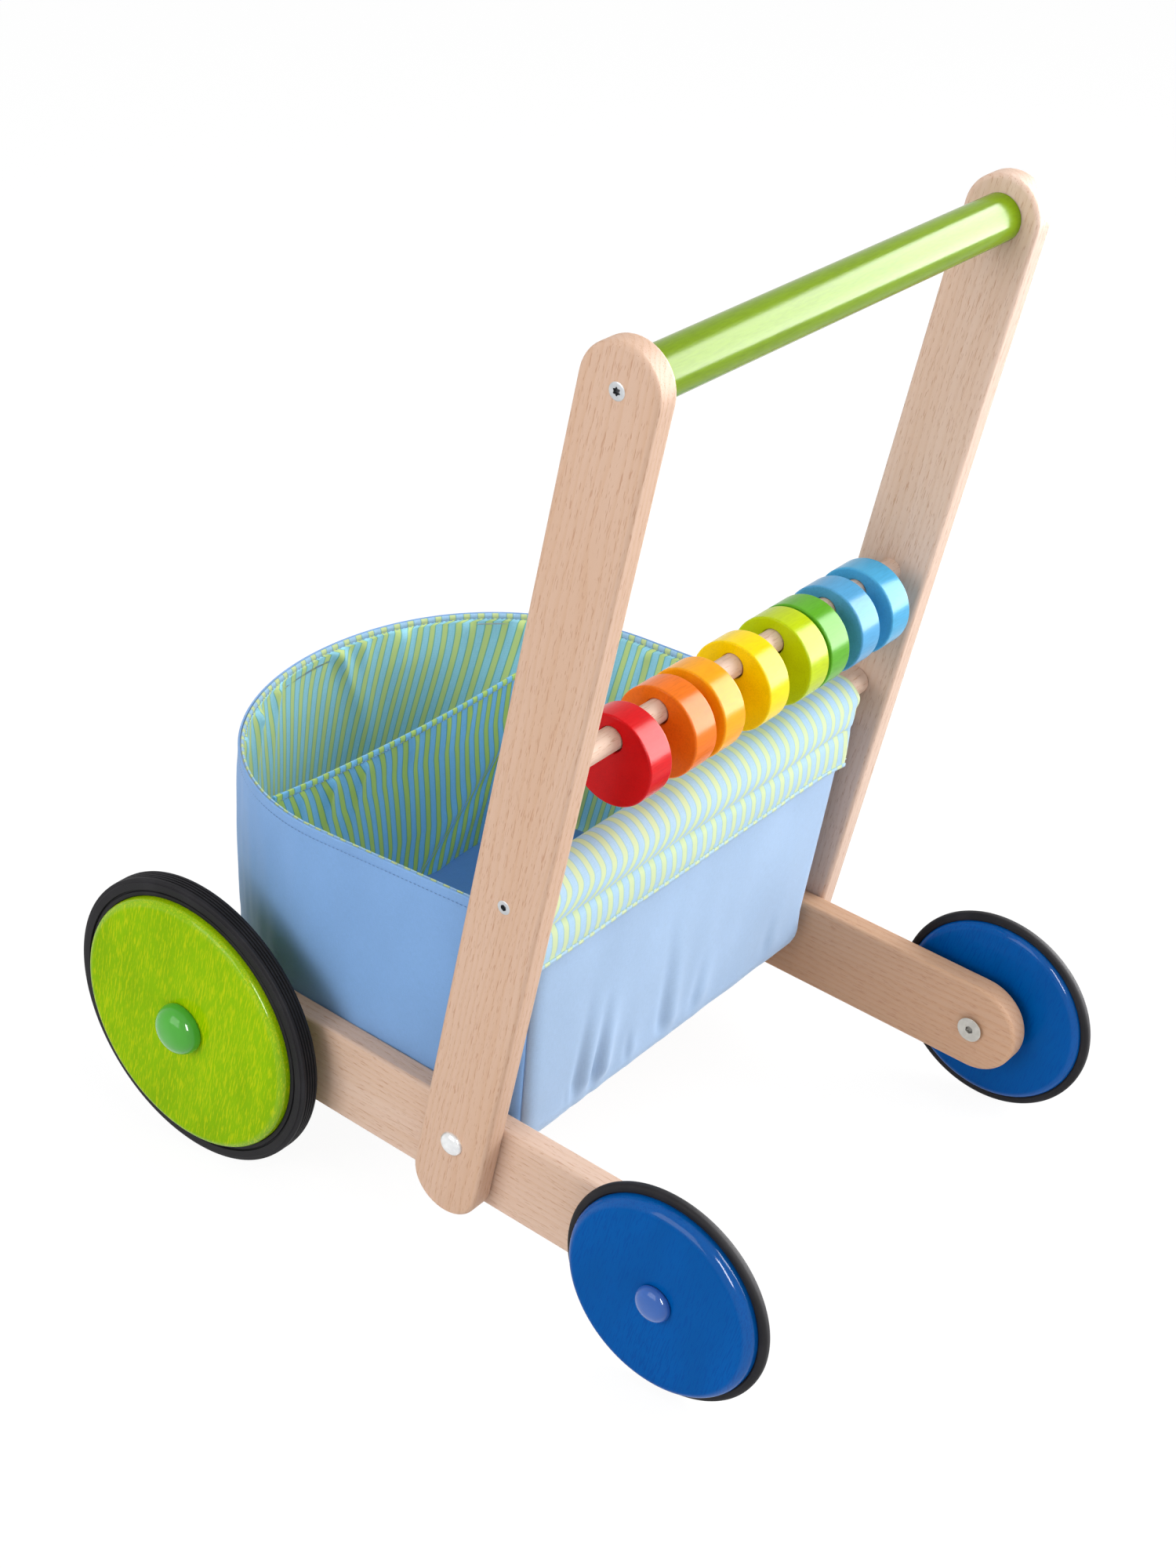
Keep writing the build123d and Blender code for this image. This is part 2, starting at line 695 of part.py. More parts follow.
# Rim wire and the binding that is folded over it and over the top of the walls
wire_inset = wall / 2
wire_z = wall_top + cloth_gap + rim_wire_radius
binding_rear = rim_rear - basket_corner - binding_end_gap

with BuildPart() as rim_wire:
    wire_x = rim_half_width - wire_inset
    wire_front = rim_front + wire_inset
    wire_arc_y = wire_front + wire_x
    wire_mid = wire_x * sqrt(0.5)
    with BuildLine(Plane.XY.offset(wire_z)) as wire_path:
        Line((wire_x, binding_rear), (wire_x, wire_arc_y))
        ThreePointArc((wire_x, wire_arc_y), (wire_mid, wire_arc_y - wire_mid), (0, wire_front))
        ThreePointArc((0, wire_front), (-wire_mid, wire_arc_y - wire_mid), (-wire_x, wire_arc_y))
        Line((-wire_x, wire_arc_y), (-wire_x, binding_rear))
    with BuildSketch(Plane(origin=(wire_x, binding_rear, wire_z), z_dir=(0, -1, 0))):
        Circle(rim_wire_radius)
    sweep()
save(rim_wire, "rim_wire")


binding_bottom = rim_top - binding_drop

with BuildPart() as binding_core:
    with BuildSketch(Plane.XY.offset(binding_bottom)):
        rim_outline(-cloth_gap)
    extrude(amount=wall_top + cloth_gap - binding_bottom)
    with BuildSketch(Plane.XY.offset(wall_top)):
        rim_outline(wire_inset - rim_wire_radius - cloth_gap)
    extrude(amount=2 * rim_wire_radius + 2 * cloth_gap)
    with BuildSketch(Plane.XY.offset(wall_top)):
        rim_outline(wire_inset + rim_wire_radius + cloth_gap)
    extrude(amount=2 * rim_wire_radius + 2 * cloth_gap, mode=Mode.SUBTRACT)
    with BuildSketch(Plane.XY.offset(binding_bottom)):
        rim_outline(wall + cloth_gap)
    extrude(amount=wall_top + cloth_gap - binding_bottom, mode=Mode.SUBTRACT)

with BuildPart() as rim_binding:
    with BuildSketch(Plane.XY.offset(binding_bottom)):
        rim_outline(-cloth_gap - binding_thickness)
    extrude(amount=binding_drop)
    with BuildSketch(Plane.XY.offset(binding_bottom)):
        rim_outline(wall + cloth_gap + binding_thickness)
    extrude(amount=binding_drop, mode=Mode.SUBTRACT)
    add(binding_core.part, mode=Mode.SUBTRACT)
    split(bisect_by=Plane(origin=(0, binding_rear, rim_top), z_dir=(0, -1, 0)), keep=Keep.TOP)
save(rim_binding, "rim_binding")


# Rear flap: it rises from the back wall, turns over the basket rod and hangs down behind the wall
floor_rear_point = deck.from_local_coords((0, floor_rear, floor_edge_round))
wall_lean = atan2(rim_rear - floor_rear_point.Y, band_bottom - floor_rear_point.Z)
rod_to_wall = (rim_rear - basket_rod.Y) * cos(wall_lean) + (basket_rod.Z - band_bottom) * sin(wall_lean)
flap_turn = rod_to_wall + flap_gap + flap_thickness / 2
flap_start = (rim_rear - wall / 2, wall_top + flap_gap + flap_thickness / 2)
to_rod = (basket_rod.Y - flap_start[0], basket_rod.Z - flap_start[1])
rise_angle = atan2(to_rod[1], to_rod[0]) + asin(flap_turn / hypot(*to_rod))
rise_length = sqrt(to_rod[0] ** 2 + to_rod[1] ** 2 - flap_turn ** 2)
flap_meets_rod = (flap_start[0] + rise_length * cos(rise_angle),
                  flap_start[1] + rise_length * sin(rise_angle))
flap_over_rod = (basket_rod.Y, basket_rod.Z + flap_turn)
flap_leaves_rod = (basket_rod.Y + flap_turn * cos(wall_lean), basket_rod.Z - flap_turn * sin(wall_lean))
flap_hem = (flap_leaves_rod[0] - flap_drop * sin(wall_lean), flap_leaves_rod[1] - flap_drop * cos(wall_lean))

with BuildPart() as rear_flap:
    with BuildSketch(Plane.YZ):
        with BuildLine() as flap_path:
            Line(flap_start, flap_meets_rod)
            ThreePointArc(flap_meets_rod, flap_over_rod, flap_leaves_rod)
            Line(flap_leaves_rod, flap_hem)
        trace(line_width=flap_thickness)
    extrude(amount=rail_outer - flap_end_gap, both=True)
save(rear_flap, "rear_flap")
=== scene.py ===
"""Dresses a packed baby walker: beech frame, lacquered rings and wheels, sewn cloth basket."""

from contextlib import contextmanager
from functools import lru_cache
from math import cos, exp, pi, radians, sin, sqrt, tan, tanh

import bmesh
import bpy
from bpy.props import FloatProperty, FloatVectorProperty, PointerProperty
from mathutils import Matrix, Vector, noise


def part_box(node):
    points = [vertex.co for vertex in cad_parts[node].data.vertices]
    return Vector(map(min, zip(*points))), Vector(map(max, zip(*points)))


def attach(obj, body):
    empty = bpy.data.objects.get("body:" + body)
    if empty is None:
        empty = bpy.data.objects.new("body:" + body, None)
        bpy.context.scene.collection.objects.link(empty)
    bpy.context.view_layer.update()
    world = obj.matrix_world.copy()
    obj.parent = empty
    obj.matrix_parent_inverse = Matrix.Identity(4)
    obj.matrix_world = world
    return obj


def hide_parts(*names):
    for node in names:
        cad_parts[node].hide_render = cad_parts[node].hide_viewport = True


bl_info = {
    "name": "Baby Walker",
    "version": (1, 0, 0),
    "blender": (4, 5, 0),
    "location": "3D Viewport > Sidebar > Walker",
    "description": "Builds the visible pieces of a push-along baby walker around its packed frame",
    "category": "Object",
}

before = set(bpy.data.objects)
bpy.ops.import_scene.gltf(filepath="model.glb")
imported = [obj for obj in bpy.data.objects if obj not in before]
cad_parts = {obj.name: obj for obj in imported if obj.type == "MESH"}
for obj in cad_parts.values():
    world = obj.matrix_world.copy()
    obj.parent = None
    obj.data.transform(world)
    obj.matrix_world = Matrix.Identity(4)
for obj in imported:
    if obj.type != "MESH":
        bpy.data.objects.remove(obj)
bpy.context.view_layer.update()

SIDES = {"left": 1, "right": -1}
RINGS = ("sky", "blue", "green", "lime", "yellow", "amber", "orange", "red")
ACROSS = Vector((1, 0, 0))
WHITE = (1, 1, 1, 1)


@lru_cache(maxsize=None)
def box(node):
    """Lowest and highest corner of a frame node."""
    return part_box(node)


def middle(node):
    """Centre of a node's box."""
    low, high = box(node)
    return (low + high) / 2


def span(node):
    """Sizes of a node's box."""
    low, high = box(node)
    return high - low


# Places that the frame gives
front_axle = middle("front_left_disc")
rear_axle = middle("rear_left_disc")
frame_bolt = middle("frame_bolts")
handle = middle("handle_bar")
basket_rod = middle("basket_rod")
abacus_rod = middle("abacus_rod")
upright_dir = (handle - frame_bolt).normalized()
rail_dir = Vector((0, rear_axle.y - front_axle.y, rear_axle.z - front_axle.z)).normalized()
rail_up = ACROSS.cross(rail_dir)
deck_origin = Vector((0, front_axle.y, front_axle.z))
rim_top = box("rim_binding")[1].z
rail_half_height = (span("left_rail").z - abs(front_axle.z - rear_axle.z)) / 2


def linear(red, green, blue):
    """Linear colour from sRGB bytes."""
    return tuple(((c / 255 + 0.055) / 1.055) ** 2.4 if c > 10 else c / 3294.6
                 for c in (red, green, blue))


def colour(name, description, *srgb):
    """Colour setting, written as sRGB bytes."""
    return FloatVectorProperty(name=name, description=description, subtype="COLOR", size=3,
                               min=0, max=1, default=linear(*srgb))


def distance(name, description, default):
    """Length setting in metres."""
    return FloatProperty(name=name, description=description, default=default,
                         unit="LENGTH", subtype="DISTANCE", precision=5)


def angle_setting(name, description, degrees):
    """Angle setting, written in degrees."""
    return FloatProperty(name=name, description=description, subtype="ANGLE", default=radians(degrees))


def lamp_power(name, description, watts):
    """Lamp setting."""
    return FloatProperty(name=name, description=description, subtype="POWER", default=watts)


class TimberSettings(bpy.types.PropertyGroup):
    """Colours of the bare beech."""
    beech: colour("Beech", "Main tone of the timber", 219, 193, 176)
    beech_dark: colour("Beech Dark", "Darker bands of the timber", 211, 180, 158)
    warm: colour("Beech Warm", "Tone of a redder board", 196, 152, 118)
    fleck: colour("Fleck", "Short flecks along the grain", 172, 122, 92)
    year_pitch: distance("Year Pitch", "From one yearly line to the next", 0.0026)
    fleck_length: distance("Fleck Length", "Length of a fleck along the grain", 0.0056)
    fleck_width: distance("Fleck Width", "Width of a fleck", 0.00052)


class LacquerSettings(bpy.types.PropertyGroup):
    """Colours of the lacquered wood."""
    handle: colour("Handle", "Grip bar", 118, 149, 0)
    sky: colour("Sky", "First ring", 78, 168, 214)
    blue: colour("Blue", "Second ring", 84, 160, 208)
    green: colour("Green", "Third ring", 92, 168, 36)
    lime: colour("Lime", "Fourth ring", 186, 206, 8)
    yellow: colour("Yellow", "Fifth ring", 252, 216, 0)
    amber: colour("Amber", "Sixth ring", 250, 166, 16)
    orange: colour("Orange", "Seventh ring", 238, 118, 22)
    red: colour("Red", "Eighth ring", 214, 12, 20)
    front_disc: colour("Front Wheel", "Stain of the front wheels", 138, 185, 0)
    front_streak: colour("Front Wheel Streaks", "Grain that shows through", 200, 205, 14)
    rear_disc: colour("Rear Wheel", "Stain of the rear wheels", 0, 85, 162)
    rear_streak: colour("Rear Wheel Streaks", "Grain that shows through", 0, 70, 146)


class WheelSettings(bpy.types.PropertyGroup):
    """Sizes of the wheels' details and colours of their rubber and plastic."""
    front_round: distance("Front Rounding", "Rounding of a front disc's edges", 0.0036)
    rear_round: distance("Rear Rounding", "Rounding of a rear disc's outer edge", 0.0054)
    inner_round: distance("Inner Rounding", "Greatest rounding of a disc's inner edge", 0.0040)
    tyre_round: distance("Tyre Rounding", "Rounding of a tyre's shoulders", 0.0014)
    rib_depth: distance("Rib Depth", "Depth of the grooves between the tread's ribs", 0.0009)
    bead: distance("Bead", "Width of the bead beside a disc", 0.0024)
    cap_neck: FloatProperty(name="Cap Neck", description="Share of a cap's height below its widest part",
                            default=0.13)
    rubber: colour("Rubber", "Tyres", 28, 27, 30)
    front_cap: colour("Front Cap", "Hub caps of the front wheels", 78, 170, 58)
    rear_cap: colour("Rear Cap", "Hub caps of the rear wheels", 54, 99, 176)
    nylon: colour("Nylon", "Bushes and spacers", 225, 225, 220)


class ClothSettings(bpy.types.PropertyGroup):
    """Sizes and colours of the basket's cloth."""
    plain: colour("Plain Cloth", "Outer cloth and floor", 128, 169, 220)
    stripe_blue: colour("Stripe Blue", "Ground between the stripes", 156, 199, 233)
    stripe_lime: colour("Stripe Lime", "Stripes", 197, 212, 142)
    stripe_edge: colour("Stripe Edge", "Thin line where the prints overlap", 56, 152, 122)
    thread: colour("Thread", "Seams of the basket", 100, 144, 196)
    pale_thread: colour("Pale Thread", "Seams of the flap", 206, 226, 236)
    hem: distance("Hem", "From a hem's edge to its seam", 0.0030)
    stripe_pitch: distance("Stripe Pitch", "From one stripe to the next", 0.0082)
    cloth: distance("Cloth", "Thickness of a layer", 0.0008)
    wall: distance("Wall", "Both layers of the wall together", 0.0031)
    corner: distance("Corner", "Rounding of the rear corners", 0.012)
    foot_round: distance("Foot Rounding", "Rounding of the lower edge", 0.013)
    floor_half_width: distance("Floor Half Width", "Half the basket's width at its foot", 0.1226)
    floor_front: distance("Floor Front", "Foot's front end, ahead of the front axle", 0.069)
    floor_rear: distance("Floor Rear", "Foot's rear end, behind the front axle", 0.1926)
    floor_rise: distance("Floor Rise", "Height of the inside floor above the deck", 0.0168)
    stitch_pitch: distance("Stitch Pitch", "From one stitch to the next", 0.0026)
    stitch_length: distance("Stitch Length", "Length of one stitch", 0.0019)
    thread_radius: distance("Thread Radius", "Thickness of the thread", 0.00021)


class StageSettings(bpy.types.PropertyGroup):
    """Camera and light."""
    eye: FloatVectorProperty(name="Eye", description="Camera's place", size=3, subtype="TRANSLATION",
                             unit="LENGTH", default=(0.87487, 0.68511, 0.83602))
    azimuth: angle_setting("Azimuth", "Camera's heading round the object", 128.24)
    elevation: angle_setting("Elevation", "Camera's height angle", 30.21)
    roll: angle_setting("Roll", "Camera's tilt", 0.46)
    lens: FloatProperty(name="Lens", description="Focal length in millimetres", unit="CAMERA",
                        default=58.31)
    shift: FloatVectorProperty(name="Shift", description="Shift of the picture, in picture heights", size=2,
                               default=(0.0025, 0.0148))
    sky_light: FloatProperty(name="Sky Light", description="Strength of the even light", default=0.42)
    key_power: lamp_power("Key Power", "Softbox at the right", 30)
    top_power: lamp_power("Top Power", "Softbox overhead", 10)
    fill_power: lamp_power("Fill Power", "Softbox at the left", 77)
    window_power: lamp_power("Window Power", "Large pane that glossy faces mirror", 310)
    glint_power: lamp_power("Glint Power", "Small pane that rounded edges mirror", 62)


def settings(group):
    """One of the scene's groups of settings."""
    return getattr(bpy.context.scene, f"walker_{group}")


# Materials
class Wire:
    """A shader socket that Python's operators turn into Math nodes."""

    def __init__(self, finish, socket):
        self.finish = finish
        self.socket = socket

    def math(self, operation, *others):
        """Result of a Math node on this value."""
        return self.finish.math(operation, self, *others)

    def __add__(self, other):
        return self.math("ADD", other)

    def __sub__(self, other):
        return self.math("SUBTRACT", other)

    def __mul__(self, other):
        return self.math("MULTIPLY", other)

    def __truediv__(self, other):
        return self.math("DIVIDE", other)

    def __rsub__(self, other):
        return self.finish.math("SUBTRACT", other, self)

    __radd__ = __add__
    __rmul__ = __mul__


class Finish:
    """One material, or the world, built from node expressions."""

    def __init__(self, name, kind="materials"):
        self.owner = getattr(bpy.data, kind).new(name)
        self.owner.use_nodes = True
        self.tree = self.owner.node_tree
        self.tree.nodes.clear()

    def node(self, kind, options=None, inputs=None, output=0):
        """Add a node, set it up, feed its sockets and return one output."""
        made = self.tree.nodes.new(kind)
        for key, value in (options or {}).items():
            setattr(made, key, value)
        for key, value in (inputs or {}).items():
            if isinstance(value, Wire):
                self.tree.links.new(value.socket, made.inputs[key])
            else:
                made.inputs[key].default_value = value
        return Wire(self, made.outputs[output]) if made.outputs else None

    def math(self, operation, *values):
        """Result of a Math node."""
        return self.node("ShaderNodeMath", {"operation": operation}, dict(enumerate(values)))

    def place(self):
        """Place on the piece, in metres."""
        return self.node("ShaderNodeTexCoord", output="Object")

    def uv(self):
        """Place on the flat cloth, in metres."""
        return self.node("ShaderNodeTexCoord", output="UV")

    def turned(self, vector, direction, shift):
        """Vector turned so that a direction on the piece becomes X, then shifted."""
        turn = direction.rotation_difference(ACROSS).to_euler("XYZ")
        return self.node("ShaderNodeMapping", None,
                         {"Vector": vector, "Rotation": turn, "Location": (shift, shift, shift)})

    def stretched(self, vector, factors):
        """Vector times one factor along each axis."""
        return self.node("ShaderNodeVectorMath", {"operation": "MULTIPLY"}, {0: vector, 1: factors})

    def noise(self, vector, scale, detail):
        """Noise from 0 to 1, with one scale or with one along each axis."""
        if isinstance(scale, tuple):
            vector, scale = self.stretched(vector, scale), 1.0
        return self.node("ShaderNodeTexNoise", None, {"Vector": vector, "Scale": scale, "Detail": detail})

    def smooth(self, value, low, high):
        """Smooth step from 0 at low to 1 at high."""
        return self.node("ShaderNodeMapRange", {"interpolation_type": "SMOOTHSTEP"},
                         {"Value": value, "From Min": low, "From Max": high})

    def mix(self, factor, first, second):
        """Blend of two colours."""
        values = {0: factor}
        for key, tone in ((6, first), (7, second)):
            values[key] = tone if isinstance(tone, Wire) else (*tone, 1.0)
        return self.node("ShaderNodeMix", {"data_type": "RGBA"}, values, output=2)

    def shown(self):
        """1 for rays from the camera, from gloss and through glass, and 0 for light on other things."""
        camera, gloss, glass = (self.node("ShaderNodeLightPath", output=f"Is {ray} Ray")
                                for ray in ("Camera", "Glossy", "Transmission"))
        return camera.math("MAXIMUM", gloss).math("MAXIMUM", glass)

    def bump(self, height, depth, strength):
        """Normal from a height that is 0 to 1 over a depth in metres."""
        return self.node("ShaderNodeBump", None,
                         {"Height": height, "Distance": depth, "Strength": strength})

    def surface(self, base, **sockets):
        """Close the tree with a Principled shader."""
        values = {key.replace("_", " ").title().replace("Ior", "IOR"): value
                  for key, value in sockets.items()}
        shader = self.node("ShaderNodeBsdfPrincipled", None, {"Base Color": base, **values})
        self.node("ShaderNodeOutputMaterial", None, {"Surface": shader})
        return self.owner


def dimmed(tone, share):
    """Colour with a share of its light."""
    return tuple(c * share for c in tone)


def beech(name, direction, shift, warmth_and_shade=0.0):
    """Oiled beech: yearly lines, warm bands, short dark flecks and a redder tone, partly painted shade."""
    tones = settings("timber")
    finish = Finish(name)
    grain = finish.turned(finish.place(), direction, shift)
    waver = finish.noise(grain, (6, 40, 40), 2.0)
    across = finish.node("ShaderNodeVectorMath", {"operation": "DOT_PRODUCT"},
                         {0: grain, 1: (0, 0.80, 0.60)}, output="Value")
    count = (across + waver * 0.011) / tones.year_pitch
    year = count - count.math("FLOOR")
    line = finish.smooth(year, 0.35, 0.90) * (1 - finish.smooth(year, 0.90, 1.0))
    fine = 1 / tones.fleck_width
    flecks = finish.noise(grain, (1 / tones.fleck_length, fine, fine), 1.0)
    fleck = finish.smooth(flecks + line * 0.05, 0.62, 0.71)
    bands = finish.noise(grain, (4, 45, 45), 2.0)
    pores = finish.noise(grain, (900, 5200, 5200), 1.0)
    tone = finish.mix(finish.smooth(bands, 0.34, 0.66) * 0.6 + line * 0.18, tones.beech, tones.beech_dark)
    # Share of the darker, redder tone: the board's own, and on the right rail mostly painted shade
    tone = finish.mix(line * 0.12 + warmth_and_shade, tone, tones.warm)
    tone = finish.mix(fleck * 0.44, tone, tones.fleck)
    height = pores * 0.35 - fleck * 0.6 - line * 0.25
    return finish.surface(tone, roughness=0.50 + fleck * 0.12, specular_ior_level=0.12,
                          normal=finish.bump(height, 0.00012, 0.6))


def turned_lacquer(name, tone, shift, haze):
    """Glossy lacquer over turned wood, whose grain runs along X; haze softens what it mirrors."""
    finish = Finish(name)
    grain = finish.turned(finish.place(), ACROSS, shift)
    streaks = finish.noise(grain, (160, 1300, 1300), 2.0)
    clouds = finish.noise(grain, (25, 120, 120), 2.0)
    deep = dimmed(tone, 0.86)
    mixed = finish.mix(finish.smooth(streaks * 0.6 + clouds * 0.4, 0.30, 0.62), deep, tone)
    return finish.surface(mixed, roughness=0.45, specular_ior_level=0.0, coat_weight=1.0, coat_ior=1.22,
                          coat_roughness=haze, normal=finish.bump(streaks, 0.00013, 0.9))


def stained_disc(name, tone, streak, share, axle, radius):
    """Stain over flat wood, the grain showing through in streaks; its lacquer is thicker at the rim."""
    finish = Finish(name)
    place = finish.place()
    grain = finish.turned(place, Vector((0, 0.26, 0.97)), 0.3)
    reach = finish.node("ShaderNodeVectorMath", {"operation": "DISTANCE"},
                        {0: finish.stretched(place, (0, 1, 1)), 1: (0, axle.y, axle.z)}, output="Value")
    streaks = finish.noise(grain, (130, 1450, 1450), 3.0)
    fibres = finish.noise(grain, (300, 2600, 2600), 1.0)
    clouds = finish.noise(grain, (12, 30, 30), 2.0)
    amount = finish.smooth(streaks * 0.70 + fibres * 0.20 + clouds * 0.10, 0.50, 0.60)
    deep = dimmed(tone, 0.88)
    mixed = finish.mix(finish.smooth(clouds, 0.35, 0.65), deep, tone)
    mixed = finish.mix(amount * share, mixed, streak)
    lacquered = 0.12 + finish.smooth(reach, radius - 0.0045, radius - 0.0025) * 0.36
    return finish.surface(mixed, roughness=0.45, specular_ior_level=0.0, coat_weight=lacquered,
                          coat_ior=1.42, coat_roughness=0.10,
                          normal=finish.bump(streaks * 0.6 + fibres * 0.4, 0.00009, 0.4))


def rubber(name, tone):
    """Matt black rubber with a faint bloom."""
    finish = Finish(name)
    place = finish.place()
    bloom = finish.noise(place, 55, 3.0)
    grit = finish.noise(place, 2600, 2.0)
    worn = tuple(c * 1.7 + 0.004 for c in tone)
    mixed = finish.mix(finish.smooth(bloom, 0.4, 0.75) * 0.6, tone, worn)
    return finish.surface(mixed, roughness=0.50 + bloom * 0.2, specular_ior_level=0.15,
                          normal=finish.bump(grit, 0.00004, 0.5))


def moulded(name, tone, gloss):
    """Moulded plastic with a slight orange peel."""
    finish = Finish(name)
    place = finish.place()
    peel = finish.noise(place, 380, 2.0)
    tint = finish.noise(place, 60, 2.0)
    mixed = finish.mix(finish.smooth(tint, 0.3, 0.7), dimmed(tone, 0.92), tone)
    return finish.surface(mixed, roughness=gloss + peel * 0.06, specular_ior_level=0.1, coat_weight=1.0,
                          coat_ior=1.30, coat_roughness=0.05, normal=finish.bump(peel, 0.00003, 0.3))


def plated(name, tone, gloss, scratch, socket=0.86):
    """Plated steel with fine turning marks, and painted shade in the driving sockets."""
    finish = Finish(name)
    place = finish.place()
    marks = finish.noise(place, (300, 2400, 2400), 3.0)
    mottle = finish.noise(place, 240, 2.0)
    recess = finish.node("ShaderNodeAttribute", {"attribute_name": "recess"}, output="Fac")
    mixed = finish.mix(finish.smooth(mottle, 0.35, 0.7), dimmed(tone, 0.86), tone)
    # Painted shade: the socket's points are darkened nearly to black by the given share
    mixed = finish.mix(recess * socket, mixed, (0.02, 0.02, 0.025))
    return finish.surface(mixed, metallic=0.55, roughness=gloss + mottle * scratch,
                          normal=finish.bump(marks, 0.00003, scratch * 2))


# Painted light: linear colours that cloth is washed towards as painted glare and sheen, and the most that a
# painted lift may reach
PLAIN_GLARE_TONE = (0.92, 0.98, 0.88)
STRIPE_GLARE_TONE = (0.58, 0.66, 0.66)
BRIGHTEST = 0.9


def weave(finish, uv):
    """Height of a fine plain weave with slubs, 0 to 1."""
    warp = finish.noise(uv, (3600, 260, 1), 1.0)
    weft = finish.noise(uv, (260, 3600, 1), 1.0)
    return warp * 0.5 + weft * 0.5


def plain_cloth(name, painted_shade_power=1.0, painted_glare=0.0):
    """Satin poplin in one colour, which a copy can take deepened as painted shade or washed pale as painted
    light and sheen.
    """
    tones = settings("cloth")
    finish = Finish(name)
    uv = finish.uv()
    threads = weave(finish, uv)
    clouds = finish.noise(uv, (22, 14, 1), 3.0)
    # Painted shade deepens the colour, and painted light and sheen wash it towards a pale tone
    tone = tuple(c ** painted_shade_power * (1 - painted_glare) + glare_tone * painted_glare
                 for c, glare_tone in zip(tones.plain, PLAIN_GLARE_TONE))
    deep = dimmed(tone, 0.86)
    mixed = finish.mix(finish.smooth(threads * 0.6 + clouds * 0.4, 0.32, 0.68), deep, tone)
    return finish.surface(mixed, roughness=0.50 + threads * 0.2, specular_ior_level=0.12,
                          sheen_weight=0.2, sheen_roughness=0.35,
                          normal=finish.bump(threads, 0.00008, 0.5))


def striped_cloth(name, painted_shade_power=1.0, painted_glare=0.0, bright=(1.0, 1.0, 1.0), ripe=1.0):
    """Printed poplin: uneven lime stripes on light blue, with a thin line where the prints overlap.

    Copies of it carry painted light and shade: deepening darkens and saturates the print as painted shade,
    washing it out towards a light grey blue is painted glare and sheen, lifting it all is painted light,
    and ripe scales the lime alone.
    """
    tones = settings("cloth")

    # Painted light and shade on the print: deepened as shade, lifted as light, washed pale as glare
    def tint(tone):
        return tuple(min(BRIGHTEST, lift * c ** painted_shade_power) * (1 - painted_glare) + glare_tone * painted_glare
                     for c, lift, glare_tone in zip(tone, bright, STRIPE_GLARE_TONE))

    finish = Finish(name)
    uv = finish.uv()
    across = finish.node("ShaderNodeSeparateXYZ", None, {0: uv}, output="X")
    drift = finish.noise(uv, (18, 9, 1), 1.0)
    wander = finish.noise(uv, (90, 26, 1), 1.0)
    count = (across + drift * 0.0006 + wander * 0.0003) / tones.stripe_pitch
    index = count.math("FLOOR")
    part = count - index
    random = finish.node("ShaderNodeTexWhiteNoise", {"noise_dimensions": "1D"}, {"W": index})
    half = 0.200 + random * 0.03
    off = (part - 0.5).math("ABSOLUTE")
    soft, line_off, line_width = 0.018, 0.02, 0.05
    lime = 1 - finish.smooth(off - half, -soft, soft)
    line = 1 - finish.smooth((off - half - line_off).math("ABSOLUTE"), soft, line_width)
    threads = weave(finish, uv)
    blue = tint(tones.stripe_blue)
    ground = finish.mix(finish.smooth(threads, 0.3, 0.7), dimmed(blue, 0.88), blue)
    mixed = finish.mix(lime, ground, dimmed(tint(tones.stripe_lime), ripe))
    mixed = finish.mix(line * (0.6 - painted_glare), mixed, tint(tones.stripe_edge))
    return finish.surface(mixed, roughness=0.66 + threads * 0.16, specular_ior_level=0.12,
                          sheen_weight=0.2, sheen_roughness=0.4,
                          normal=finish.bump(threads, 0.00008, 0.5))


def thread(name, tone):
    """Twisted sewing thread."""
    finish = Finish(name)
    twist = finish.noise(finish.place(), 2400, 1.0)
    mixed = finish.mix(twist, dimmed(tone, 0.7), tone)
    return finish.surface(mixed, roughness=0.7, sheen_weight=0.3)


# Meshes
@contextmanager
def editing(mesh):
    """Edit a mesh's points and faces, and write them back."""
    work = bmesh.new()
    work.from_mesh(mesh)
    yield work
    work.to_mesh(mesh)
    work.free()


def turn_outwards(mesh):
    """Point a mesh's faces out."""
    with editing(mesh) as work:
        bmesh.ops.recalc_face_normals(work, faces=work.faces)


def join_doubles(mesh, reach):
    """Merge the points of a mesh that lie within a distance of one another."""
    with editing(mesh) as work:
        bmesh.ops.remove_doubles(work, verts=work.verts, dist=reach)


def piece(name, verts, faces, material, body, slot, uvs=None, sharp=35):
    """Object of the walker from points and faces, shaded smooth up to an angle."""
    mesh = bpy.data.meshes.new(name)
    mesh.from_pydata([tuple(v) for v in verts], [], faces)
    if uvs is not None:
        layer = mesh.uv_layers.new(name="Cloth")
        for loop in mesh.loops:
            layer.data[loop.index].uv = uvs[loop.vertex_index]
    turn_outwards(mesh)
    return dressed(name, mesh, material, body, slot, sharp)


def dressed(name, mesh, material, body, slot, sharp=35):
    """Object of the walker from a mesh, riding on a body."""
    mesh.shade_smooth()
    mesh.set_sharp_from_angle(angle=radians(sharp))
    mesh.materials.clear()
    mesh.materials.append(material)
    made = bpy.data.objects.new(name, mesh)
    bpy.context.scene.collection.objects.link(made)
    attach(made, body)
    return made


def thicken(made, thickness, offset=-1.0):
    """Give a sheet its thickness, inwards from its faces by default."""
    solid = made.modifiers.new("Cloth", "SOLIDIFY")
    solid.thickness = thickness
    solid.offset = offset
    solid.use_even_offset = True


def smooth_copy(node, name, material, slot):
    """Copy of a frame node with its triangles joined and its flat faces kept flat."""
    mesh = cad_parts[node].data.copy()
    mesh.name = name
    join_doubles(mesh, 0.000002)
    made = dressed(name, mesh, material, "frame", slot)
    weighted = made.modifiers.new("Flat Faces", "WEIGHTED_NORMAL")
    weighted.keep_sharp = True
    weighted.weight = 100
    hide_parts(node)


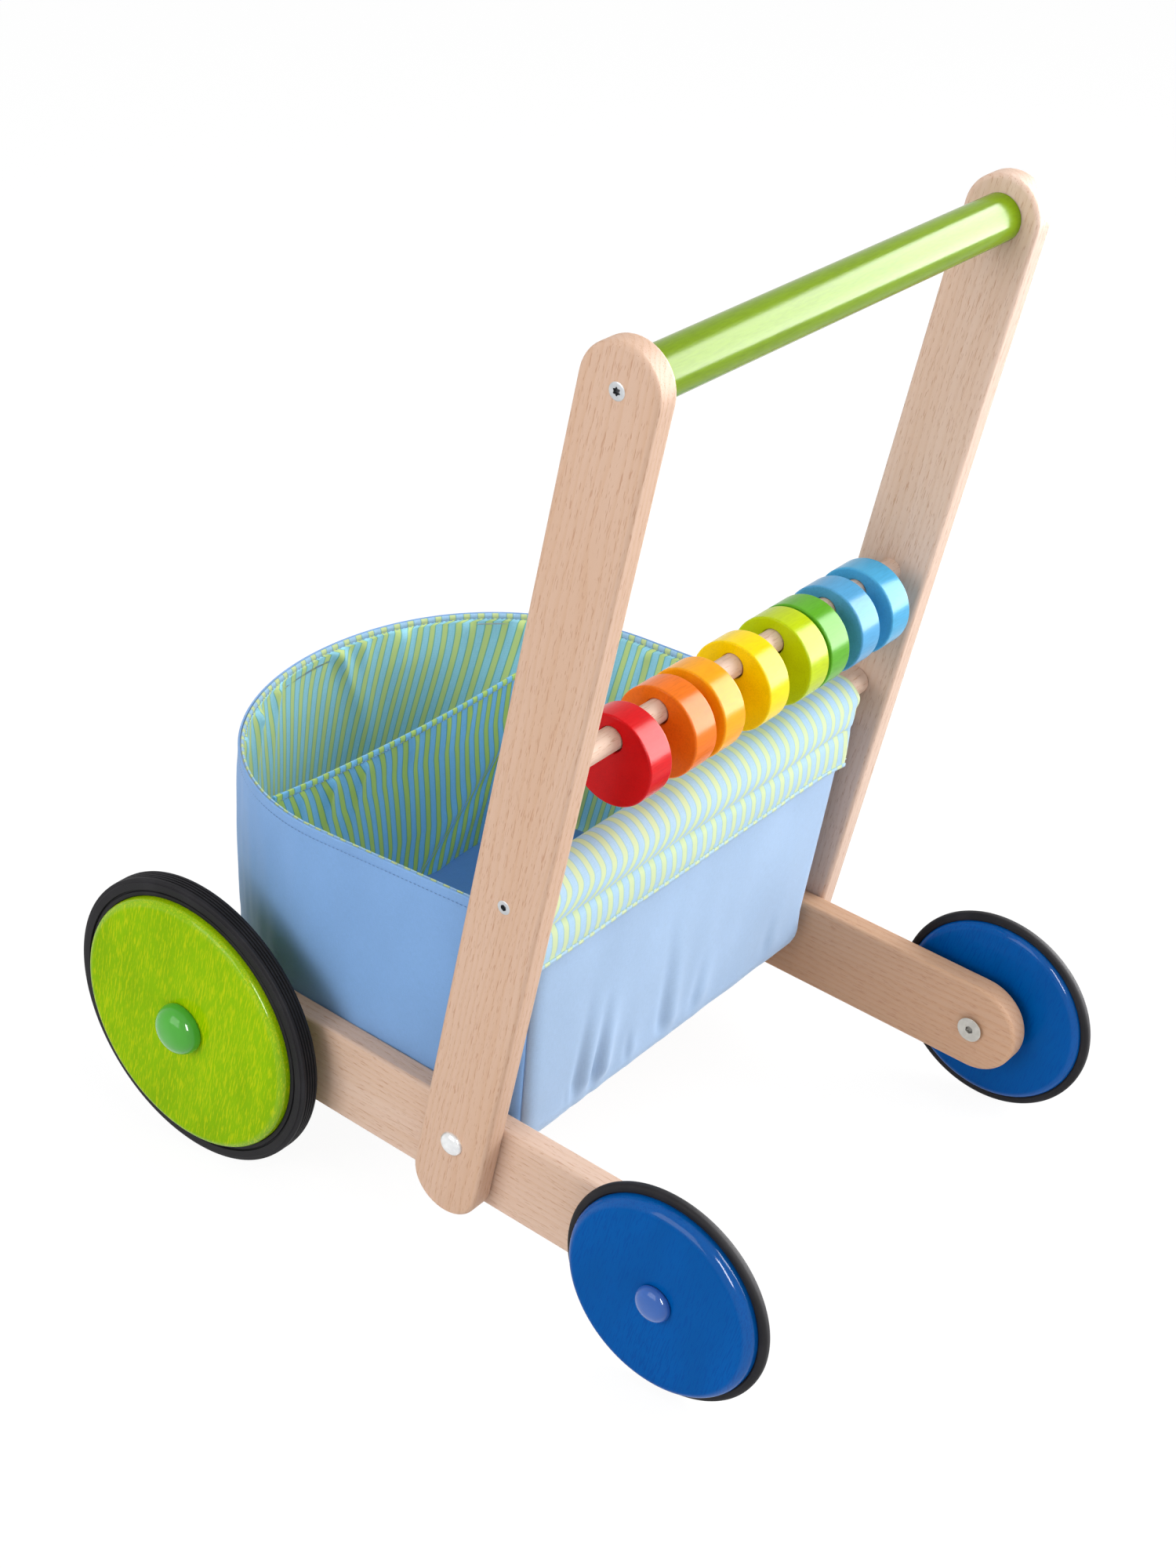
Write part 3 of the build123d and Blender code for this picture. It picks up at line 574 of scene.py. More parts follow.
def rounded(corners, steps):
    """Closed outline through (x, y, radius) corners, each rounded and held beside its arc."""
    beside = 0.12
    points = []
    for index, (x, y, radius) in enumerate(corners):
        here = Vector((x, y))
        if radius <= 0:
            points.append(here)
            continue
        back = (Vector(corners[index - 1][:2]) - here).normalized()
        on = (Vector(corners[(index + 1) % len(corners)][:2]) - here).normalized()
        half = back.angle(on) / 2
        reach = radius / tan(half)
        centre = here + (back + on).normalized() * (radius / sin(half))
        start, end = here + back * reach, here + on * reach
        spoke = start - centre
        sweep = (pi - 2 * half) * (1 if spoke.cross(end - centre) > 0 else -1)
        points.append(start + back * radius * beside)
        for step in range(steps + 1):
            angle = sweep * step / steps
            turned = Vector((spoke.x * cos(angle) - spoke.y * sin(angle),
                             spoke.x * sin(angle) + spoke.y * cos(angle)))
            points.append(centre + turned)
        points.append(end + on * radius * beside)
    return points


def turns(count):
    """Cosine and sine of even steps round a circle."""
    return [(cos(2 * pi * step / count), sin(2 * pi * step / count)) for step in range(count)]


def lathe(profile, centre, segments, closed=True):
    """Points and faces of a turned shape about X, from (x, radius) points."""
    on_axis = 1e-6
    verts, faces, rings = [], [], []
    for x, radius in profile:
        if radius < on_axis:
            rings.append([len(verts)])
            verts.append((x, centre.y, centre.z))
            continue
        rings.append(list(range(len(verts), len(verts) + segments)))
        verts += [(x, centre.y + radius * c, centre.z + radius * s) for c, s in turns(segments)]
    following = rings[1:] + rings[:1] if closed else rings[1:]
    for one, two in zip(rings, following):
        if len(one) == len(two) == 1:
            continue
        for step in range(segments):
            after = (step + 1) % segments
            face = [one[step % len(one)], one[after % len(one)],
                    two[after % len(two)], two[step % len(two)]]
            faces.append(list(dict.fromkeys(face)))
    return verts, faces


def grid_faces(rows, columns, wrap=False, offset=0):
    """Quads of a grid of points, row by row."""
    faces = []
    for row in range(rows - 1):
        for column in range(columns if wrap else columns - 1):
            after = (column + 1) % columns
            one, two = offset + row * columns, offset + (row + 1) * columns
            faces.append([one + column, one + after, two + after, two + column])
    return faces


# Basket surfaces
CORNER_STEPS, SIDE_STEPS, FRONT_STEPS, BACK_STEPS = 6, 70, 236, 140


def columns_along(*parts):
    """Columns along parts of the basket's plan, so many to each."""
    columns = [(part, step / count) for part, count in parts for step in range(count)]
    return columns + [(parts[-1][0], 1.0)]


def wall_columns():
    """Columns of the wall, from the left rear seam round the front to the right rear seam."""
    return columns_along(("left_corner", CORNER_STEPS), ("left_side", SIDE_STEPS), ("front", FRONT_STEPS),
                         ("right_side", SIDE_STEPS), ("right_corner", CORNER_STEPS))


def back_columns():
    """Columns of the back, from the right rear seam to the left one."""
    return columns_along(("right_back_corner", CORNER_STEPS), ("back", BACK_STEPS),
                         ("left_back_corner", CORNER_STEPS))


# Side, first and last angle of each half corner
CORNER_TURNS = {"left_corner": (1, 45, 0), "right_corner": (-1, 0, 45),
                "right_back_corner": (-1, 45, 90), "left_back_corner": (1, 90, 45)}


def plan(column, half, front, rear, corner):
    """Point of a column on a D-shaped plan, and the direction out of the plan there."""
    part, share = column
    if part in CORNER_TURNS:
        side, first, last = CORNER_TURNS[part]
        angle = radians(first + (last - first) * share)
        out = Vector((side * cos(angle), sin(angle)))
        return Vector((side * (half - corner), rear - corner)) + out * corner, out
    turn_y = front + half
    if part == "front":
        out = Vector((cos(pi * share), -sin(pi * share)))
        return Vector((0, turn_y)) + out * half, out
    if part == "back":
        return Vector(((2 * share - 1) * (half - corner), rear)), Vector((0, 1))
    side = 1 if part == "left_side" else -1
    low, high = (rear - corner, turn_y) if side > 0 else (turn_y, rear - corner)
    return Vector((side * half, low + (high - low) * share)), Vector((side, 0))


def on_deck(point, rise):
    """Place of a plan point at a height above the sloping deck."""
    return deck_origin + Vector((point.x, 0, 0)) + rail_dir * point.y + rail_up * rise


def corner_round(inset):
    """Rounding of the plan's rear corners, which tightens as the plan is drawn in."""
    return settings("cloth").corner - inset / 2


def rim_shape(inset):
    """Half width, front, rear and corner of the rim, drawn in."""
    skin = 0.001
    low, high = box("rim_binding")
    rear = box("basket_back_panel")[1].y
    return (high.x - skin - inset, low.y + skin + inset, rear - inset, corner_round(inset))


def floor_shape(inset):
    """The same of the foot, on the deck."""
    sizes = settings("cloth")
    return (sizes.floor_half_width - inset, -sizes.floor_front + inset, sizes.floor_rear - inset,
            corner_round(inset))


def rim_lift(point):
    """How much higher the rim stands at its far front than elsewhere."""
    lift, highest, reach = 0.0040, Vector((-0.080, -0.150)), 0.095
    return lift * bell((point - highest).length, reach)


def basket_point(column, share, inset):
    """Point of the basket's wall, from its foot at 0 to its rim at 1, and the direction out of it."""
    knee, under_rim = 0.13, 0.0012
    foot_rise = settings("cloth").foot_round
    foot, out = plan(column, *floor_shape(inset))
    shoulder = on_deck(foot, rail_half_height)
    if share < knee:
        return on_deck(foot, foot_rise + (rail_half_height - foot_rise) * share / knee), out.to_3d()
    top, _ = plan(column, *rim_shape(inset))
    top = Vector((top.x, top.y, rim_top - under_rim + rim_lift(top)))
    return shoulder.lerp(top, (share - knee) / (1 - knee)), out.to_3d()


def foot_point(column, angle, inset):
    """Point on the rounded foot, from the wall at 0 to the underside at a quarter turn."""
    radius = settings("cloth").foot_round
    tuck = radius * (1 - cos(angle))
    point, out = plan(column, *floor_shape(inset + tuck))
    return on_deck(point, radius * (1 - sin(angle))), out.to_3d()


def ripple(x, y, seed):
    """Smooth noise from -1 to 1."""
    return noise.noise(Vector((x, y, seed)))


def lengths(points):
    """Distance along a line of points."""
    total, made = 0.0, [0.0]
    for one, two in zip(points, points[1:]):
        total += (two - one).length
        made.append(total)
    return made


def bell(distance_off, width):
    """Soft bump."""
    return exp(-(distance_off / width) ** 2)


class WALKER_OT_timber(bpy.types.Operator):
    """Side rails, uprights and the bare rods"""
    bl_idname = "walker.timber"
    bl_label = "Timber"

    def execute(self, context):
        # Where in its log each board was cut, and how much darker and redder it is than the palest one:
        # partly the board's own tone, and on the right rail mostly painted shade
        boards = {"left": (("upright", upright_dir, 0.0, 0.42), ("rail", rail_dir, 0.70, 0.16)),
                  "right": (("upright", upright_dir, 0.37, 0.0), ("rail", rail_dir, 0.99, 0.76))}
        for side, pair in boards.items():
            for kind, direction, shift, warmth_and_shade in pair:
                board = beech(f"beech_{kind}_{side}", direction, shift, warmth_and_shade)
                smooth_copy(f"{side}_{kind}", f"{side}_{kind}_timber", board, "beech")
        for node, shift in (("abacus_rod", 1.3), ("basket_rod", 1.9)):
            turned_bar(node, f"{node}_timber", beech(f"beech_{node}", ACROSS, shift), "beech")
        return {"FINISHED"}


def turned_bar(node, name, material, slot):
    """Round bar with softened ends in place of a frame node."""
    low, high = box(node)
    radius = (high.z - low.z) / 2
    soft, steps, segments = 0.0006, 24, 96
    first, last = low.x + soft, high.x - soft
    profile = [(low.x, 0), (low.x, radius - soft)]
    profile += [(first + (last - first) * step / steps, radius) for step in range(steps + 1)]
    profile += [(high.x, radius - soft), (high.x, 0)]
    verts, faces = lathe(profile, middle(node), segments, closed=False)
    made = piece(name, verts, faces, material, "frame", slot)
    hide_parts(node)


class WALKER_OT_handle(bpy.types.Operator):
    """Lacquered grip bar"""
    bl_idname = "walker.handle"
    bl_label = "Grip Bar"

    def execute(self, context):
        finish = turned_lacquer("handle_lacquer", tuple(settings("lacquer").handle), 2.1, 0.20)
        turned_bar("handle_bar", "handle_bar_lacquered", finish, "lime_lacquer")
        return {"FINISHED"}


def bored_ring(name, node, material, slot):
    """Ring with a hole off its middle, rounded at its rims and softened at its hole."""
    low, high = box(node)
    centre = (low + high) / 2
    radius = (high.z - low.z) / 2
    round_off, hole_soft, play, hang = 0.0010, 0.0005, 0.0005, 0.0004
    steps, segments = 8, 128
    hole = Vector((centre.x, abacus_rod.y, abacus_rod.z - hang))
    hole_radius = span("abacus_rod").z / 2 + play
    outer = [point for point in rounded([(low.x, 0, 0), (low.x, radius, round_off),
                                         (high.x, radius, round_off), (high.x, 0, 0)], steps)
             if point.y > 0]
    bore = [(high.x, hole_radius + hole_soft), (high.x - hole_soft, hole_radius),
            (low.x + hole_soft, hole_radius), (low.x, hole_radius + hole_soft)]
    loops = [(x, r, centre) for x, r in outer] + [(x, r, hole) for x, r in bore]
    verts = [(x, axis.y + r * c, axis.z + r * s) for x, r, axis in loops for c, s in turns(segments)]
    faces = grid_faces(len(loops), segments, wrap=True)
    last = (len(loops) - 1) * segments
    faces += [[last + s, last + (s + 1) % segments, (s + 1) % segments, s] for s in range(segments)]
    made = piece(name, verts, faces, material, node, slot)
    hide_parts(node)


class WALKER_OT_rings(bpy.types.Operator):
    """Eight lacquered rings on the abacus rod"""
    bl_idname = "walker.rings"
    bl_label = "Abacus Rings"

    def execute(self, context):
        for index, name in enumerate(RINGS):
            slot = "lime_ring_lacquer" if name == "lime" else f"{name}_lacquer"
            tone = tuple(getattr(settings("lacquer"), name))
            finish = turned_lacquer(f"ring_{name}_lacquer", tone, 3 + 0.4 * index, 0.23)
            bored_ring(f"ring_{name}_turned", f"ring_{name}", finish, slot)
        return {"FINISHED"}


def wheel_disc(end, side, material, slot):
    """Flat wooden disc with rounded rims, and the hub recess behind its cap."""
    node = f"{end}_{side}_disc"
    low, high = box(node)
    sizes = settings("wheels")
    outer_round = sizes.rear_round if end == "rear" else sizes.front_round
    inner_round = min(outer_round, sizes.inner_round)
    inner, outer = (low.x, high.x) if SIDES[side] > 0 else (high.x, low.x)
    radius = (high.z - low.z) / 2
    bore, bore_soft = span(f"{end}_{side}_bush").z / 2, 0.0004
    recess_radius, recess_floor = bore + 0.004, (outer + inner) / 2
    steps, segments = 8, 224
    profile = rounded([(inner, bore, bore_soft), (inner, radius, inner_round),
                       (outer, radius, outer_round), (outer, recess_radius, bore_soft),
                       (recess_floor, recess_radius, 0), (recess_floor, bore, 0)], steps)
    verts, faces = lathe(profile, middle(node), segments)
    made = piece(f"{end}_{side}_wheel_disc", verts, faces, material, f"{end}_{side}_wheel", slot)
    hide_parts(node)


def ribbed_section(half, seat, radius, ribs):
    """Half a side and the tread of a ribbed tyre, as (x, radius, rounding) corners."""
    sizes = settings("wheels")
    bead, depth, fold = seat + sizes.bead, sizes.rib_depth, sizes.tyre_round
    shoulder, crown, crown_round = half - fold * 0.7, radius - fold * 0.15, fold * 0.4
    fine, soft = 0.0001, 0.0003
    wall = [(half - 0.0012, seat, 0), (half - 0.0002, seat + 0.0004, soft), (half - 0.0002, bead, soft),
            (half - 0.0013, bead + 0.0003, fine), (half - 0.0013, bead + 0.0009, fine),
            (half, bead + 0.0012, soft), (half, radius - fold * 1.6, 0.0004),
            (half - 0.0007, radius - fold * 1.5, 0.0002), (half - 0.0008, radius - fold, soft)]
    pitch, top_half, foot_half = 2 * (half - fold) / ribs, 0.0005, 0.00025
    tread = [(shoulder, crown, crown_round)]
    for rib in range(1, ribs):
        x = half - fold - rib * pitch
        tread += [(x + top_half, radius, fine), (x + foot_half, radius - depth, fine),
                  (x - foot_half, radius - depth, fine), (x - top_half, radius, fine)]
    return wall, tread + [(-shoulder, crown, crown_round)]


def round_section(half, seat, radius):
    """The same of a plain tyre with a round tread."""
    crown, crown_round = radius - 0.0002, half * 0.8
    wall = [(half - 0.0006, seat, 0), (half, seat + 0.0008, 0.0004)]
    return wall, [(half, crown, crown_round), (-half, crown, crown_round)]


def tyre(end, side, material, ribs):
    """Rubber tyre round a disc: a bead and fine ribs, or a plain round tread where it has no ribs."""
    node = f"{end}_{side}_tyre"
    low, high = box(node)
    half, centre = (high.x - low.x) / 2, (high.x + low.x) / 2
    radius = (high.z - low.z) / 2
    clear, segments = 0.00002, 192
    seat = span(f"{end}_{side}_disc").z / 2 + clear
    wall, tread = ribbed_section(half, seat, radius, ribs) if ribs else round_section(half, seat, radius)
    corners = wall + tread + [(-x, r, soft) for x, r, soft in reversed(wall)]
    profile = [(centre + x, r) for x, r in rounded(corners, 3 if ribs else 5)]
    verts, faces = lathe(profile, middle(node), segments)
    made = piece(f"{end}_{side}_wheel_tyre", verts, faces, material, f"{end}_{side}_wheel",
                 "tyre_rubber", sharp=40)
    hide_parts(node)


def hub_cap(end, side, material, slot):
    """Domed cap with a short wall at its foot."""
    node = f"{end}_{side}_cap"
    disc_low, disc_high = box(f"{end}_{side}_disc")
    low, high = box(node)
    sign = SIDES[side]
    foot, top = (disc_high.x, high.x) if sign > 0 else (disc_low.x, low.x)
    radius = (high.z - low.z) / 2
    rise = abs(top - foot)
    neck = settings("wheels").cap_neck * rise
    sunk, steps, segments = foot - sign * 0.002, 22, 96
    profile = [(sunk, 0), (sunk, radius * 0.6), (foot, radius * 0.95),
               (foot + sign * neck * 0.5, radius * 0.985)]
    for step in range(steps):
        angle = pi / 2 * step / steps
        height = neck + (rise - neck) * sin(angle) ** 0.9
        profile.append((foot + sign * height, radius * cos(angle) ** 0.8))
    profile.append((top, 0))
    verts, faces = lathe(profile, middle(node), segments, closed=False)
    made = piece(f"{end}_{side}_hub_cap", verts, faces, material, f"{end}_{side}_wheel", slot, sharp=40)
    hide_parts(node)


class WALKER_OT_wheels(bpy.types.Operator):
    """Wooden wheels with rubber tyres and hub caps"""
    bl_idname = "walker.wheels"
    bl_label = "Wheels"

    def execute(self, context):
        tones, sizes = settings("lacquer"), settings("wheels")
        black = rubber("tyre_rubber", tuple(sizes.rubber))
        for end, axle, streaked, ribs, disc_slot, cap_slot in (
                ("front", front_axle, 0.62, 5, "leaf_green_lacquer", "green_plastic"),
                ("rear", rear_axle, 0.60, 0, "cobalt_lacquer", "blue_plastic")):
            stain = stained_disc(f"{end}_disc_stain", tuple(getattr(tones, f"{end}_disc")),
                                 tuple(getattr(tones, f"{end}_streak")), streaked, axle,
                                 span(f"{end}_left_disc").z / 2)
            plastic = moulded(f"{end}_cap_plastic", tuple(getattr(sizes, f"{end}_cap")), 0.16)
            for side in SIDES:
                wheel_disc(end, side, stain, disc_slot)
                tyre(end, side, black, ribs)
                hub_cap(end, side, plastic, cap_slot)
        return {"FINISHED"}


# Fasteners
def interface(tree, *sockets):
    """Give a node group its sockets, and return the inputs' identifiers by name."""
    tree.interface.new_socket("Geometry", in_out="OUTPUT", socket_type="NodeSocketGeometry")
    for name, kind in sockets:
        tree.interface.new_socket(name, in_out="INPUT", socket_type=kind)
    return {item.name: item.identifier for item in tree.interface.items_tree if item.in_out == "INPUT"}


def tree_node(tree, kind, options=None, inputs=None):
    """Add a node to a geometry tree, set it up and feed its sockets."""
    made = tree.nodes.new(kind)
    for key, value in (options or {}).items():
        setattr(made, key, value)
    for key, value in (inputs or {}).items():
        if isinstance(value, bpy.types.NodeSocket):
            tree.links.new(value, made.inputs[key])
        else:
            made.inputs[key].default_value = value
    return made


def head_tree():
    """Geometry Nodes group that sets a head on every point, facing along the point's direction."""
    tree = bpy.data.node_groups.new("Fastener Heads", "GeometryNodeTree")
    names = interface(tree, ("Geometry", "NodeSocketGeometry"), ("Head", "NodeSocketObject"),
                      ("Finish", "NodeSocketMaterial"))
    given = tree_node(tree, "NodeGroupInput").outputs
    head = tree_node(tree, "GeometryNodeObjectInfo", None, {"Object": given["Head"]})
    facing = tree_node(tree, "GeometryNodeInputNamedAttribute", {"data_type": "FLOAT_VECTOR"},
                       {"Name": "facing"})
    turn = tree_node(tree, "FunctionNodeAlignRotationToVector", {"axis": "Z"},
                     {"Vector": facing.outputs["Attribute"]})
    heads = tree_node(tree, "GeometryNodeInstanceOnPoints", None,
                      {"Points": given["Geometry"], "Instance": head.outputs["Geometry"],
                       "Rotation": turn.outputs["Rotation"]})
    close_tree(tree, heads.outputs["Instances"], given["Finish"])
    return tree, names


def close_tree(tree, instances, finish):
    """Realize instances, give them their material and put them out."""
    real = tree_node(tree, "GeometryNodeRealizeInstances", None, {"Geometry": instances})
    painted = tree_node(tree, "GeometryNodeSetMaterial", None,
                        {"Geometry": real.outputs["Geometry"], "Material": finish})
    tree_node(tree, "NodeGroupOutput", None, {"Geometry": painted.outputs["Geometry"]})


def realized(source, tree, values, name):
    """Plain mesh that a node group makes from an object's data."""
    holder = bpy.data.objects.new(f"{name}_source", source)
    bpy.context.scene.collection.objects.link(holder)
    modifier = holder.modifiers.new("Nodes", "NODES")
    modifier.node_group = tree
    for identifier, value in values.items():
        modifier[identifier] = value
    bpy.context.view_layer.update()
    evaluated = holder.evaluated_get(bpy.context.evaluated_depsgraph_get())
    mesh = bpy.data.meshes.new_from_object(evaluated)
    mesh.name = name
    holder.modifiers.clear()
    bpy.data.objects.remove(holder)
    return mesh


def screw_head(name, radius, socket, wave, depth, dome):
    """Head with a six-sided socket, or a star where its wave is high; its top is at Z = 0, facing up."""
    count, lobes = 72, 6
    rings = [(radius * 0.72, -depth * 1.3, 0), (radius, -0.00045, 0), (radius, -0.00012, 0),
             (radius - 0.00022, dome * 0.2, 0), (radius * 0.8, dome * 0.7, 0),
             (socket * 1.25, dome, wave), (socket * 1.04, dome - 0.00004, wave),
             (socket, dome - 0.00018, wave), (socket, -depth, wave), (socket * 0.45, -depth * 1.12, 0)]
    verts = []
    for ring_radius, z, swell in rings:
        for step in range(count):
            angle = 2 * pi * step / count
            reach = ring_radius * (1 + swell * cos(lobes * angle))
            verts.append((reach * cos(angle), reach * sin(angle), z))
    faces = grid_faces(len(rings), count, wrap=True)
    faces.append(list(range(count))[::-1])
    last = (len(rings) - 1) * count
    faces.append([last + step for step in range(count)])
    made = loose_head(name, verts, faces)
    # The socket's points, where the plated finish paints shade
    recess = made.data.attributes.new("recess", "FLOAT", "POINT")
    for index in range((len(rings) - 3) * count, len(verts)):
        recess.data[index].value = 1.0
    return made


def dome_head(name, radius, height):
    """Plain mushroom head, its foot at Z = 0."""
    count, steps, edge = 72, 14, 0.0003
    rings = [(radius * 0.8, -0.001), (radius, 0), (radius, edge)]
    for step in range(1, steps):
        angle = pi / 2 * step / steps
        rings.append((radius * cos(angle), edge + (height - edge) * sin(angle) ** 0.9))
    verts = [(ring_radius * c, ring_radius * s, z) for ring_radius, z in rings for c, s in turns(count)]
    faces = grid_faces(len(rings), count, wrap=True)
    faces.append(list(range(count))[::-1])
    last = (len(rings) - 1) * count
    verts.append((0, 0, height))
    faces += [[last + s, last + (s + 1) % count, len(verts) - 1] for s in range(count)]
    return loose_head(name, verts, faces)


def loose_head(name, verts, faces):
    """Head object that only the node group uses."""
    mesh = bpy.data.meshes.new(name)
    mesh.from_pydata(verts, [], faces)
    turn_outwards(mesh)
    made = bpy.data.objects.new(name, mesh)
    bpy.context.scene.collection.objects.link(made)
    return made


class WALKER_OT_fasteners(bpy.types.Operator):
    """Screw and bolt heads that show on the timber"""
    bl_idname = "walker.fasteners"
    bl_label = "Fasteners"

    def execute(self, context):
        tree, names = head_tree()
        zinc = plated("bright_zinc", (0.60, 0.62, 0.64), 0.24, 0.16)
        nickel = plated("dull_nickel", (0.55, 0.53, 0.48), 0.30, 0.14, 0.5)
        chrome = plated("polished_dome", (0.86, 0.87, 0.88), 0.05, 0.04)
        upright_face = box("left_upright")[1].x
        rail_face = box("left_rail")[0].x
        bolt_head = span("frame_bolts").z / 2
        axle_head = box("axle_bolts")[1].z - front_axle.z
        axle_height = 0.0026
        star_wave, hex_wave, depth, crown = 0.17, 0.05, 0.0017, 0.00016
        star = screw_head("star_head", span("handle_screws").z / 2, 0.00160, star_wave, depth, crown)
        hexagon = screw_head("hex_head", span("basket_rod_screws").z / 2, 0.00150, hex_wave, depth, crown)
        flat = screw_head("flat_head", axle_head, 0.0021, hex_wave, 0.0018, 0.0)
        dome = dome_head("dome", bolt_head, 0.0034)
        groups = (
            ("handle_screws", "handle_screw_heads", star, zinc, "zinc_steel", [handle], upright_face, 1),
            ("basket_rod_screws", "basket_rod_screw_heads", hexagon, zinc, "zinc_steel", [basket_rod],
             upright_face, 1),
            ("frame_bolts", "frame_bolt_heads", dome, chrome, "polished_steel", [frame_bolt],
             upright_face, 1),
            ("axle_bolts", "axle_bolt_heads", flat, nickel, "zinc_steel", [front_axle, rear_axle],
             rail_face - axle_height, -1))
        for node, name, head, finish, slot, places, x, facing in groups:
            points = bpy.data.meshes.new(f"{name}_points")
            spots = [(side * x, spot.y, spot.z) for spot in places for side in SIDES.values()]
            points.from_pydata(spots, [], [])
            way = points.attributes.new("facing", "FLOAT_VECTOR", "POINT")
            for index, spot in enumerate(spots):
                way.data[index].vector = (facing if spot[0] > 0 else -facing, 0, 0)
            mesh = realized(points, tree, {names["Head"]: head, names["Finish"]: finish}, name)
            made = dressed(name, mesh, finish, "frame", slot, sharp=32)
            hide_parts(node)
        for head in (star, hexagon, flat, dome):
            bpy.data.objects.remove(head)
        return {"FINISHED"}


# Cloth
def clamped(value):
    """Value held between 0 and 1."""
    return min(1.0, max(0.0, value))


def wall_ripple(along, share, _):
    """Soft upright waves of the outer cloth, in metres."""
    rim_hold, foot_hold = 0.12, 0.1
    hold = clamped((1 - share) / rim_hold) * min(1.0, share / foot_hold)
    waves = 0.0009 * ripple(along * 34, share * 1.6, 2.3) + 0.0005 * ripple(along * 95, share * 3.2, 7.9)
    belly = 0.0010 * sin(pi * share)
    return hold * (waves + belly)


# Place, width, depth, reach and lean of each pucker above the back panel's lower seam
BACK_FOLDS = ((0.0890, 0.0065, 0.0034, 0.075, -0.06), (0.0730, 0.0062, 0.0048, 0.066, -0.05),
              (0.0960, 0.0030, 0.0014, 0.020, 0.05), (0.0430, 0.0045, 0.0018, 0.030, 0.10),
              (0.0115, 0.0075, 0.0026, 0.085, 0.11), (-0.0170, 0.0070, 0.0020, 0.048, -0.02),
              (-0.0880, 0.0070, 0.0014, 0.040, 0.05))


def back_ripple(_, share, top):
    """Fullness of the back panel and the puckers that rise from its lower seam, in metres."""
    panel_height, panel_half_width, start = 0.125, 0.122, 0.012
    x, height = top.x, share * panel_height
    full = 0.0026 * sin(pi * min(1.0, share)) * max(0.0, 1 - (abs(x) / panel_half_width) ** 4)
    puckers = 0.0
    for place, width, depth, reach, lean in BACK_FOLDS:
        off = x - place - lean * height
        fade = max(0.0, 1 - height / reach) ** 1.5 * (0.10 + 0.90 * min(1.0, height / start))
        puckers += depth * fade * (bell(off + width, width) - bell(off, width * 0.62))
    soft = 0.0006 * ripple(x * 42, share * 2.2, 5.1)
    return full + puckers + soft * min(1.0, (1 - share) * 6)


def seam_dip(along, total):
    """How far a panel dips in at the seams at its two ends, in metres."""
    dip, width = 0.0012, 0.0016
    return -dip * bell(min(along, total - along), width)


# How far out and up from the rim's top edge the wall's cloth turns over
BRIM = ((0.0, -0.0009), (-0.00025, -0.0003), (-0.0006, 0.0), (-0.0010, -0.0003), (-0.0013, -0.0009),
        (-0.0015, -0.0018))


def beside_rim(point, out, x, z):
    """Place beside the rim's top edge, so far out and so far up."""
    return Vector((*(point + out * x), rim_top + rim_lift(point) + z))


def on_rim(column, x, z):
    """The same for a column of the wall."""
    return beside_rim(*plan(column, *rim_shape(0.0)), x, z)


def lofted(name, columns, rows, bend, material, slot, brim=()):
    """Sheet over the basket's wall: rounded foot, wall, then brim, pushed out by a function of place."""
    foot_steps, inset = 6, 0.0
    tops = [basket_point(column, 1.0, inset)[0] for column in columns]
    # The brim dips the same way at both seams
    _, last_out = basket_point(columns[-1], 1.0, inset)
    run = lengths(tops)
    levels = [("foot", pi / 2 * (1 - step / foot_steps)) for step in range(foot_steps)]
    levels += [("wall", step / rows) for step in range(rows + 1)]
    levels += [("brim", turn) for turn in brim]
    verts, uvs = [], []
    for kind, value in levels:
        for index, column in enumerate(columns):
            if kind == "foot":
                point, out = foot_point(column, value, inset)
                push = bend(run[index], 0.0, tops[index]) * cos(value)
            elif kind == "brim":
                point, out, push = on_rim(column, *value), last_out, 0.0
            else:
                point, out = basket_point(column, value, inset)
                push = bend(run[index], value, tops[index])
            push += seam_dip(run[index], run[-1])
            verts.append(point + out * push)
            uvs.append((run[index], point.z))
    faces = grid_faces(len(levels), len(columns))
    return piece(name, verts, faces, material, "frame", slot, uvs, sharp=60), run[-1]


def flat_sheet(name, inset, rise, shares, material, slot):
    """Flat D-shaped sheet on the deck, in rings from its edge to its middle line."""
    columns = wall_columns() + back_columns()[1:-1]
    half, front, rear, corner = floor_shape(inset)
    first, last = front + half, rear - half * 0.9
    verts = []
    for share in shares:
        for column in columns:
            edge, _ = plan(column, half, front, rear, corner)
            point = edge.lerp(Vector((0, min(max(edge.y, first), last))), share)
            verts.append(on_deck(point, rise(point, share)))
    uvs = [(point.x, point.y) for point in verts]
    faces = grid_faces(len(shares), len(columns), wrap=True)
    made = piece(name, verts, faces, material, "frame", slot, uvs, sharp=60)
    join_doubles(made.data, 0.00002)
    return made


class WALKER_OT_basket_outside(bpy.types.Operator):
    """Outer cloth of the basket: wall, back panel and underside"""
    bl_idname = "walker.basket_outside"
    bl_label = "Basket Outside"

    def execute(self, context):
        blue = plain_cloth("blue_poplin")
        sizes = settings("cloth")
        wall, run = lofted("basket_wall_cloth", wall_columns(), 46, wall_ripple, blue, "blue_cloth", BRIM)
        thicken(wall, sizes.cloth)
        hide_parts("basket_outer")
        # The back panel's cloth is washed pale: painted light and sheen where the key light falls on it
        back, run = lofted("basket_back_cloth", back_columns(), 60, back_ripple,
                           plain_cloth("back_poplin", 1.0, 0.23), "blue_cloth")
        thicken(back, sizes.cloth)
        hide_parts("basket_back_panel")
        under = flat_sheet("basket_under_cloth", sizes.foot_round, lambda point, depth: 0.0,
                           (0, 0.3, 0.6, 0.85, 1.0), blue, "blue_cloth")
        thicken(under, sizes.cloth)
        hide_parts("basket_outer")
        return {"FINISHED"}


